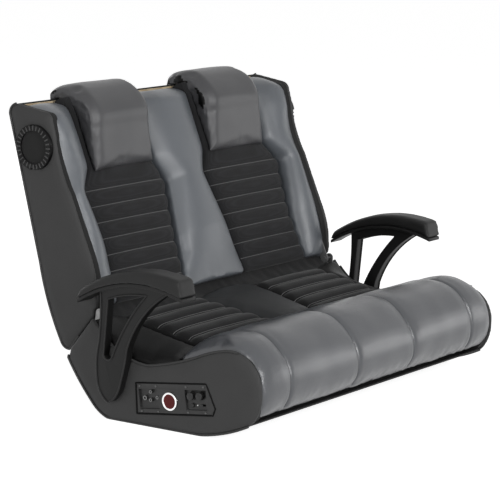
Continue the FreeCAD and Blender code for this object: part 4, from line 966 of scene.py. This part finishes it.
roll_cuts = [(ROLL_REAR, REARWARD), (ROLL_FOOT, DOWN)]
roll_boards = [board_edge("seat_cheek_" + side_name, roll_cuts) for side_name in SIDES]
roll = filled_cover("front_roll", voxel=0.007, cap=0.008, relax=5, boards=roll_boards)
roll_seams = [(Vector((x, 0, 0)), Vector((1, 0, 0)), ROLL_SEAM_DEPTH) for x in ROLL_SEAMS]
sew(roll, roll_seams, ROLL_FACING, ROLL_SEAM_WIDTH)
crumple(roll, height=0.0018, spacing=0.07)
points, normals = points_of(roll.data), normals_of(roll.data)
for point, normal in zip(points, normals):
    low = math.exp(-((point[2] - ROLL_HEM) / HEM_REACH) ** 2)
    seam = min(abs(point[0] - x) for x in ROLL_SEAMS)
    gathered = low + math.exp(-((seam - SEAM_GATHER) / SEAM_GATHER) ** 2) * SEAM_PLEATS
    point += normal * PLEAT_HEIGHT * gathered * noise_over(point, PLEAT_SIZES)
move_points(roll.data, points)
stand_for(round_off(roll), "front_roll")
print("roll faces:", len(roll.data.polygons))

# %% [markdown]
# A headrest is a pillow that hangs over the top of the back. Its broad face is one sheet of vinyl, and its
# two ends are closed by black strips, gathered into small puckers where they are sewn to the face.

# %% Headrests
GUSSET = 0.006
HEADREST_INNER = 0.110
HEADREST_OUTER = 0.344
HEADREST_MIDDLE = (HEADREST_OUTER + HEADREST_INNER) / 2
PUCKER_REACH = 0.004
PUCKER_HEIGHT = 0.0020
PUCKER_SIZES = (0.05, 0.008, 0.008)
GROOVE_DEPTH = 0.0015
GROOVE_WIDTH = 0.003


def headrest(node):
    """Pillow with a groove and puckers where its ends are sewn in."""
    piece = filled_cover(node, voxel=0.0055, cap=0.007, relax=5)
    crumple(piece, height=0.0024, spacing=0.06, stretch=(0.6, 1, 1))
    work = bmesh.new()
    work.from_mesh(piece.data)
    for x in (-HEADREST_OUTER + GUSSET, -HEADREST_INNER - GUSSET):
        cut(work, (x, 0, 0), (1, 0, 0))
    work.to_mesh(piece.data)
    work.free()
    points, normals = points_of(piece.data), normals_of(piece.data)
    for point, normal in zip(points, normals):
        past = abs(-point[0] - HEADREST_MIDDLE) - (HEADREST_OUTER - HEADREST_INNER) / 2 + GUSSET
        if past > -PUCKER_REACH:
            pucker = PUCKER_HEIGHT * noise_over(point, PUCKER_SIZES)
            point += normal * (pucker - GROOVE_DEPTH * math.exp(-(past / GROOVE_WIDTH) ** 2))
    move_points(piece.data, points)
    return piece


headrests = soft_pair("headrest", headrest)
for piece in headrests:
    piece.data.materials.append(finish["gusset_vinyl"])
    for face in piece.data.polygons:
        reach = abs(face.center.x)
        face.material_index = int(reach > HEADREST_OUTER - GUSSET or reach < HEADREST_INNER + GUSSET)
print("headrest faces:", len(headrests[0].data.polygons))

# %% [markdown]
# The side panels are thin padding over plywood: flat in the middle and drawn down to their rim. How far a
# point stands out depends only on its distance from the rim. The rim is read from the panel's solid: an edge
# belongs to it when only one of its two faces lies in the flat side.

# %% Rims of flat faces
LEVEL_SLACK = WELD * 10
SQUARE_ON = 0.9


def face_rims(node, side, level=None):
    """Outlines of a piece's flat face at one level, or of its outermost one, the longest first."""
    work = welded(node)
    level = level or max(vert.co.x * side for vert in work.verts)
    face_set = {face for face in work.faces if face.normal.x * side > SQUARE_ON
                and abs(face.calc_center_median().x * side - level) < LEVEL_SLACK}
    rim = [edge for edge in work.edges if sum(face in face_set for face in edge.link_faces) == 1]
    around = {}
    for edge in rim:
        for vert in edge.verts:
            around.setdefault(vert, []).append(edge)
    loops = []
    waiting = set(rim)
    while waiting:
        edge = next(item for item in rim if item in waiting)
        waiting.discard(edge)
        first, vert = edge.verts
        loop = [first.co.copy(), vert.co.copy()]
        while vert != first:
            edge = [other for other in around[vert] if other in waiting][0]
            waiting.discard(edge)
            vert = edge.other_vert(vert)
            loop.append(vert.co.copy())
            if len([other for other in around[vert] if other in waiting]) == 0:
                break
        loops.append(loop)
    work.free()
    loops.sort(key=lambda points: -sum((a - b).length for a, b in zip(points, points[1:])))
    return [loop[:-1] if (loop[0] - loop[-1]).length < WELD else loop for loop in loops]


# %% [markdown]
# A panel is swollen by that distance in code, because its padding is too thin for pressure. Then a black
# band is laid along its outside edge, and a cord along the scooped top edge of the seat panel, where the
# photograph shows them. Each line is the stretch of the rim that a small test picks out.

# %% Padded side panels
PANEL_PUFF = 0.0035
PANEL_DRAW = 0.015
PANEL_VOXEL = 0.0035
SKIN_ROUNDS = 6
OUTWARD = 0.5
RIM_SPACING = 0.004
BAND_SPACING = 0.006
BAND_RADIUS = 0.003
BAND_SINK = 0.4
PIPING_RADIUS = 0.0028
HEEL_TOP = 0.135
TOE_FRONT = -0.345
TOE_TOP = 0.044
BACK_BAND_TOP = 0.725
REAR_LINE_Y = 0.165
REAR_LINE_Z = 0.19
REAR_LINE_LEAN = 0.361
SCOOP_LOW = 0.13
SCOOP_FRONT = -0.315
SCOOP_REAR = 0.095


def side_panel(node, side):
    """Padded panel, drawn down to its rim."""
    rim = face_rims(node, side)[0]
    rim_points = finer(rim, RIM_SPACING, True)
    nearest = kdtree.KDTree(len(rim_points))
    for number, point in enumerate(rim_points):
        nearest.insert(point, number)
    nearest.balance()
    piece = finished(node + "_padding", welded(node))
    even_grid(piece, PANEL_VOXEL)
    smooth_out(piece, SKIN_ROUNDS)
    points, normals = points_of(piece.data), normals_of(piece.data)
    for point, normal in zip(points, normals):
        if normal[0] * side > OUTWARD:
            far = nearest.find(Vector(point))[2]
            point[0] += side * PANEL_PUFF * (1 - math.exp(-(far / PANEL_DRAW) ** 2))
    move_points(piece.data, points)
    crumple(piece, height=0.0008, spacing=0.08)
    stand_for(piece, node)
    return rim


def is_seat_band(point):
    """The seat's band runs from the toe along the floor and up the heel."""
    return point.z < HEEL_TOP and not (point.y < TOE_FRONT and point.z > TOE_TOP)


def is_back_band(point):
    """The back's band runs up its rear edge, behind a leaning line."""
    return point.y > REAR_LINE_Y + (point.z - REAR_LINE_Z) * REAR_LINE_LEAN and point.z < BACK_BAND_TOP


def is_scoop(point):
    """The seat panel's top edge, between the fold and the front roll."""
    return point.z > SCOOP_LOW and SCOOP_FRONT < point.y < SCOOP_REAR


def pipe_panel(unit, side_name, side, rim, is_band):
    """Black band along the outside of a side panel, and a cord along the scoop of the seat panel."""
    fine = [Vector((p.x, p.y, max(p.z, BAND_RADIUS))) for p in finer(rim, BAND_SPACING, True)]
    flags = [is_band(point) for point in fine]
    turn = next(i for i in range(len(fine)) if flags[i] and not flags[i - 1])
    fine, flags = fine[turn:] + fine[:turn], flags[turn:] + flags[:turn]
    count = flags.index(False)
    body = "root" if unit == "seat" else "backrest"
    inward = Vector((-side * BAND_RADIUS * BAND_SINK, 0, 0))
    band = tube("%s_edge_band_%s" % (unit, side_name), [p + inward for p in fine[:count + 1]], BAND_RADIUS)
    add_trim(band, body, "piping")
    if unit == "seat":
        top = [p + inward for p in fine[count:] if is_scoop(p)]
        cord = tube("%s_piping_%s" % (unit, side_name), top, PIPING_RADIUS)
        add_trim(cord, body, "side_vinyl")


for side_name, side in SIDES.items():
    for unit, is_band in (("seat", is_seat_band), ("back", is_back_band)):
        rim = side_panel("%s_side_cover_%s" % (unit, side_name), side)
        pipe_panel(unit, side_name, side, rim, is_band)
        print(unit, side_name, "rim points:", len(rim))

# %% [markdown]
# A strip of knit closes the fold between the seat pads and the back pads. It is sewn to both, so it bends
# with the joint: its front edge stays with the seat and its rear edge turns with the back. Its section is a
# curve through three points, and small ripples cross it.

# %% Fabric across the fold
FOLD_HALF_WIDTH = 0.462
FOLD_COLUMNS = 150
FOLD_ROWS = 10
FOLD_THICKNESS = 0.002
RIPPLE_WIDTH = 0.02
RIPPLE_TURNS = 1.5
RIPPLE_HEIGHT = 0.0015
fold_front = SEAT @ Vector((0, -0.020, -0.016))
fold_rear = BACK @ Vector((0, 0.020, 0.022))
fold_corner = PIVOT + Vector((0, 0.002, -0.014))
work = bmesh.new()
bmesh.ops.create_grid(work, x_segments=FOLD_COLUMNS, y_segments=FOLD_ROWS, size=1)
for vert in work.verts:
    share = (vert.co.y + 1) / 2
    sideways = vert.co.x * FOLD_HALF_WIDTH
    line = fold_front * (1 - share) ** 2 + fold_corner * 2 * share * (1 - share) + fold_rear * share ** 2
    wave = noise.noise(Vector((sideways / RIPPLE_WIDTH, share * RIPPLE_TURNS, 0)))
    ripple = wave * RIPPLE_HEIGHT * math.sin(math.pi * share)
    vert.co = line + Vector((sideways, -ripple, ripple))
bmesh.ops.recalc_face_normals(work, faces=work.faces)
fold_strip = finished("fold_strip", work)
thickness = fold_strip.modifiers.new("thickness", "SOLIDIFY")
thickness.thickness = FOLD_THICKNESS
settle(fold_strip)
cover(fold_strip, "seat_knit")
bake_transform(fold_strip, "root", "backrest", start=fold_front, end=fold_rear)
print("fold strip faces:", len(fold_strip.data.polygons))

# %% [markdown]
# Moulded parts never have knife edges. A welded copy gets its flat triangles joined back to whole faces, and
# every sharp edge a small rounding, which catches a thin line of light. The sizes fit each piece.

# %% Rounded copies of the moulded pieces
FLAT_ANGLE = math.radians(1)
EDGE_ANGLE = math.radians(28)
CREASE_ANGLE = math.radians(35)
ROUNDINGS = [(stem + side_name, width, 3) for side_name in SIDES
             for stem, width in (("armrest_bracket_", 0.0025), ("speaker_trim_", 0.002))]
ROUNDINGS += [
    ("control_panel_bezel", 0.001, 2),
    ("light_ring", 0.001, 3),
    ("volume_knob", 0.0008, 2),
    ("bass_knob", 0.0008, 2),
    ("power_button", 0.0006, 2),
    ("mode_switch", 0.0004, 2),
    ("panel_screws", 0.0004, 2),
    ("panel_sockets", 0.0003, 1),
]


def crisp(node, width, segments):
    """Copy a rigid node with its sharp edges rounded."""
    work = welded(node)
    bmesh.ops.dissolve_limit(work, angle_limit=FLAT_ANGLE, verts=work.verts[:], edges=work.edges[:])
    sharp = [edge for edge in work.edges if len(edge.link_faces) == 2
             and edge.calc_face_angle(0) > EDGE_ANGLE]
    bmesh.ops.bevel(work, geom=sharp, offset=width, offset_type="OFFSET", affect="EDGES", segments=segments,
                    profile=0.5, material=-1, clamp_overlap=True)
    piece = finished(node + "_finished", work)
    piece.data.set_sharp_from_angle(angle=CREASE_ANGLE)
    stand_for(piece, node)


for node, width, segments in ROUNDINGS:
    crisp(node, width, segments)
print("rounded copies:", len(ROUNDINGS))

# %% [markdown]
# The armrest's web is a moulding with a raised rim round its outline and round its window. The rims follow
# the outlines of the web's own flat face. The speaker's trim has short ribs all round, laid out like a clock
# face and coloured paler than the trim as a painted highlight. A near-black cord round the control panel is
# painted shade in the groove along its edge.

# %% Rims of the armrests, ribs of the speaker trims
WEB_LEVEL = 0.524
RIM_RADIUS = 0.0024
RIB_COUNT = 28
RIB_INNER = 0.040
RIB_OUTER = 0.0515
RIB_WIDTH = 0.0032
RIB_HEIGHT = 0.003
RIB_SINK = 0.001
RIB_EDGE = 0.0008
SHADE_OUTLINE_RADIUS = 0.0022


def web_rims(side_name, side):
    """Raised rims round the outline and the window of an armrest's web."""
    for number, loop in enumerate(face_rims("armrest_bracket_" + side_name, side, WEB_LEVEL)[:2]):
        name = "armrest_rim_%s_%d" % (side_name, number + 1)
        piece = tube(name, finer(loop, BAND_SPACING, True), RIM_RADIUS, True)
        add_trim(piece, "root", "arm_plastic")
        print(side_name, "rim", number + 1, len(loop))


def trim_ribs(side_name, side):
    """Ring of short ribs on the face of a speaker trim."""
    low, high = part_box("speaker_trim_" + side_name)
    middle = (low + high) / 2
    face = high.x if side > 0 else low.x
    work = bmesh.new()
    for number in range(RIB_COUNT):
        turn = Matrix.Rotation(2 * math.pi * number / RIB_COUNT, 4, "X")
        centre = Matrix.Translation((face - side * RIB_SINK, middle.y, middle.z)) @ turn
        shape = Matrix.Translation((0, 0, (RIB_INNER + RIB_OUTER) / 2))
        size = Matrix.Diagonal((RIB_HEIGHT, RIB_WIDTH, RIB_OUTER - RIB_INNER, 1))
        bmesh.ops.create_cube(work, size=1, matrix=centre @ shape @ size)
    bmesh.ops.bevel(work, geom=work.edges[:], offset=RIB_EDGE, offset_type="OFFSET", affect="EDGES",
                    segments=2, profile=0.5, material=-1)
    piece = finished("speaker_ribs_" + side_name, work)
    # the ribs' paler colour is a painted highlight on them
    add_trim(piece, "backrest", "rib_painted_highlight")


for side_name, side in SIDES.items():
    web_rims(side_name, side)
    trim_ribs(side_name, side)
# near-black cord along the control panel's outline: painted shade in the groove round it
bezel_rim = face_rims("control_panel_bezel", SIDES["left"])[0]
bezel_middle = sum(bezel_rim, Vector()) / len(bezel_rim)
lying = [p + (p - bezel_middle).normalized() * SHADE_OUTLINE_RADIUS / 2 for p in bezel_rim]
shade_outline = tube("panel_shade_outline", finer(lying, RIM_SPACING, True), SHADE_OUTLINE_RADIUS, True)
add_trim(shade_outline, "root", "shade_outline")

# %% [markdown]
# The armrest pads are foam with a moulded skin, rounder than their solids and soft at the lower edge. They
# are too hard for pressure to fill, so an even grid and some smoothing give their shape.

# %% Armrest pads
ARM_VOXEL = 0.004


def arm_pad(node):
    """Skinned foam with rounded edges."""
    piece = finished(node + "_cover", welded(node))
    even_grid(piece, ARM_VOXEL)
    smooth_out(piece, SKIN_ROUNDS)
    crumple(piece, height=0.0008, spacing=0.05)
    return piece


arm_pads = soft_pair("armrest_pad", arm_pad)
print("armrest pad faces:", len(arm_pads[0].data.polygons))

# %% [markdown]
# The studio: a white floor that runs far back, an even sky for soft fill, and four large lamps. Camera rays
# see the surroundings as white, and so do reflections, while the object keeps a plain light level and its
# shadow.

# %% Studio
LAMPS = [
    ("key", (-1.6, -4.5, 1.8), 1.6, 110),
    ("side", (-4.8, -0.8, 1.2), 2.0, 60),
    ("low", (4.0, -3.0, 0.4), 2.2, 38),
    ("rear", (1.6, 5.0, 1.2), 2.6, 75),
]
SKY_FILL = 0.18
FLOOR_GLOW = 0.85
FLOOR_REACH = 30
WHITE = (1, 1, 1, 1)
PAPER_TONE = (0.8, 0.8, 0.8, 1)
for label, place, breadth, power in LAMPS:
    lamp = bpy.data.lights.new(label, "AREA")
    lamp.size = breadth
    lamp.energy = power
    aimed(label, lamp, place)


def seen_directly(tree):
    """1 for rays that show the surroundings: camera, glossy and transmission rays."""
    ray = add(tree, "ShaderNodeLightPath")
    first = combine(tree, "MAXIMUM", ray.outputs["Is Camera Ray"], ray.outputs["Is Glossy Ray"])
    return combine(tree, "MAXIMUM", first, ray.outputs["Is Transmission Ray"])


world = bpy.data.worlds.new("studio")
world.use_nodes = True
scene.world = world
sky = world.node_tree
sky.nodes.clear()
fill_light = add(sky, "ShaderNodeBackground", {"Color": WHITE, "Strength": SKY_FILL})
white = add(sky, "ShaderNodeBackground", {"Color": WHITE, "Strength": 1.0})
choice = add(sky, "ShaderNodeMixShader", {0: seen_directly(sky), 1: fill_light.outputs[0],
             2: white.outputs[0]})
add(sky, "ShaderNodeOutputWorld", {0: choice.outputs[0]})

work = bmesh.new()
bmesh.ops.create_grid(work, x_segments=1, y_segments=1, size=FLOOR_REACH)
floor = finished("studio_floor", work)
paper, tree, shader = plain("studio paper", 0.9, 0.0, Base_Color=PAPER_TONE)
shader.inputs["Emission Color"].default_value = WHITE
glow = combine(tree, "MULTIPLY", seen_directly(tree), FLOOR_GLOW)
tree.links.new(glow, shader.inputs["Emission Strength"])
floor.data.materials.append(paper)
print("lamps:", len(LAMPS))
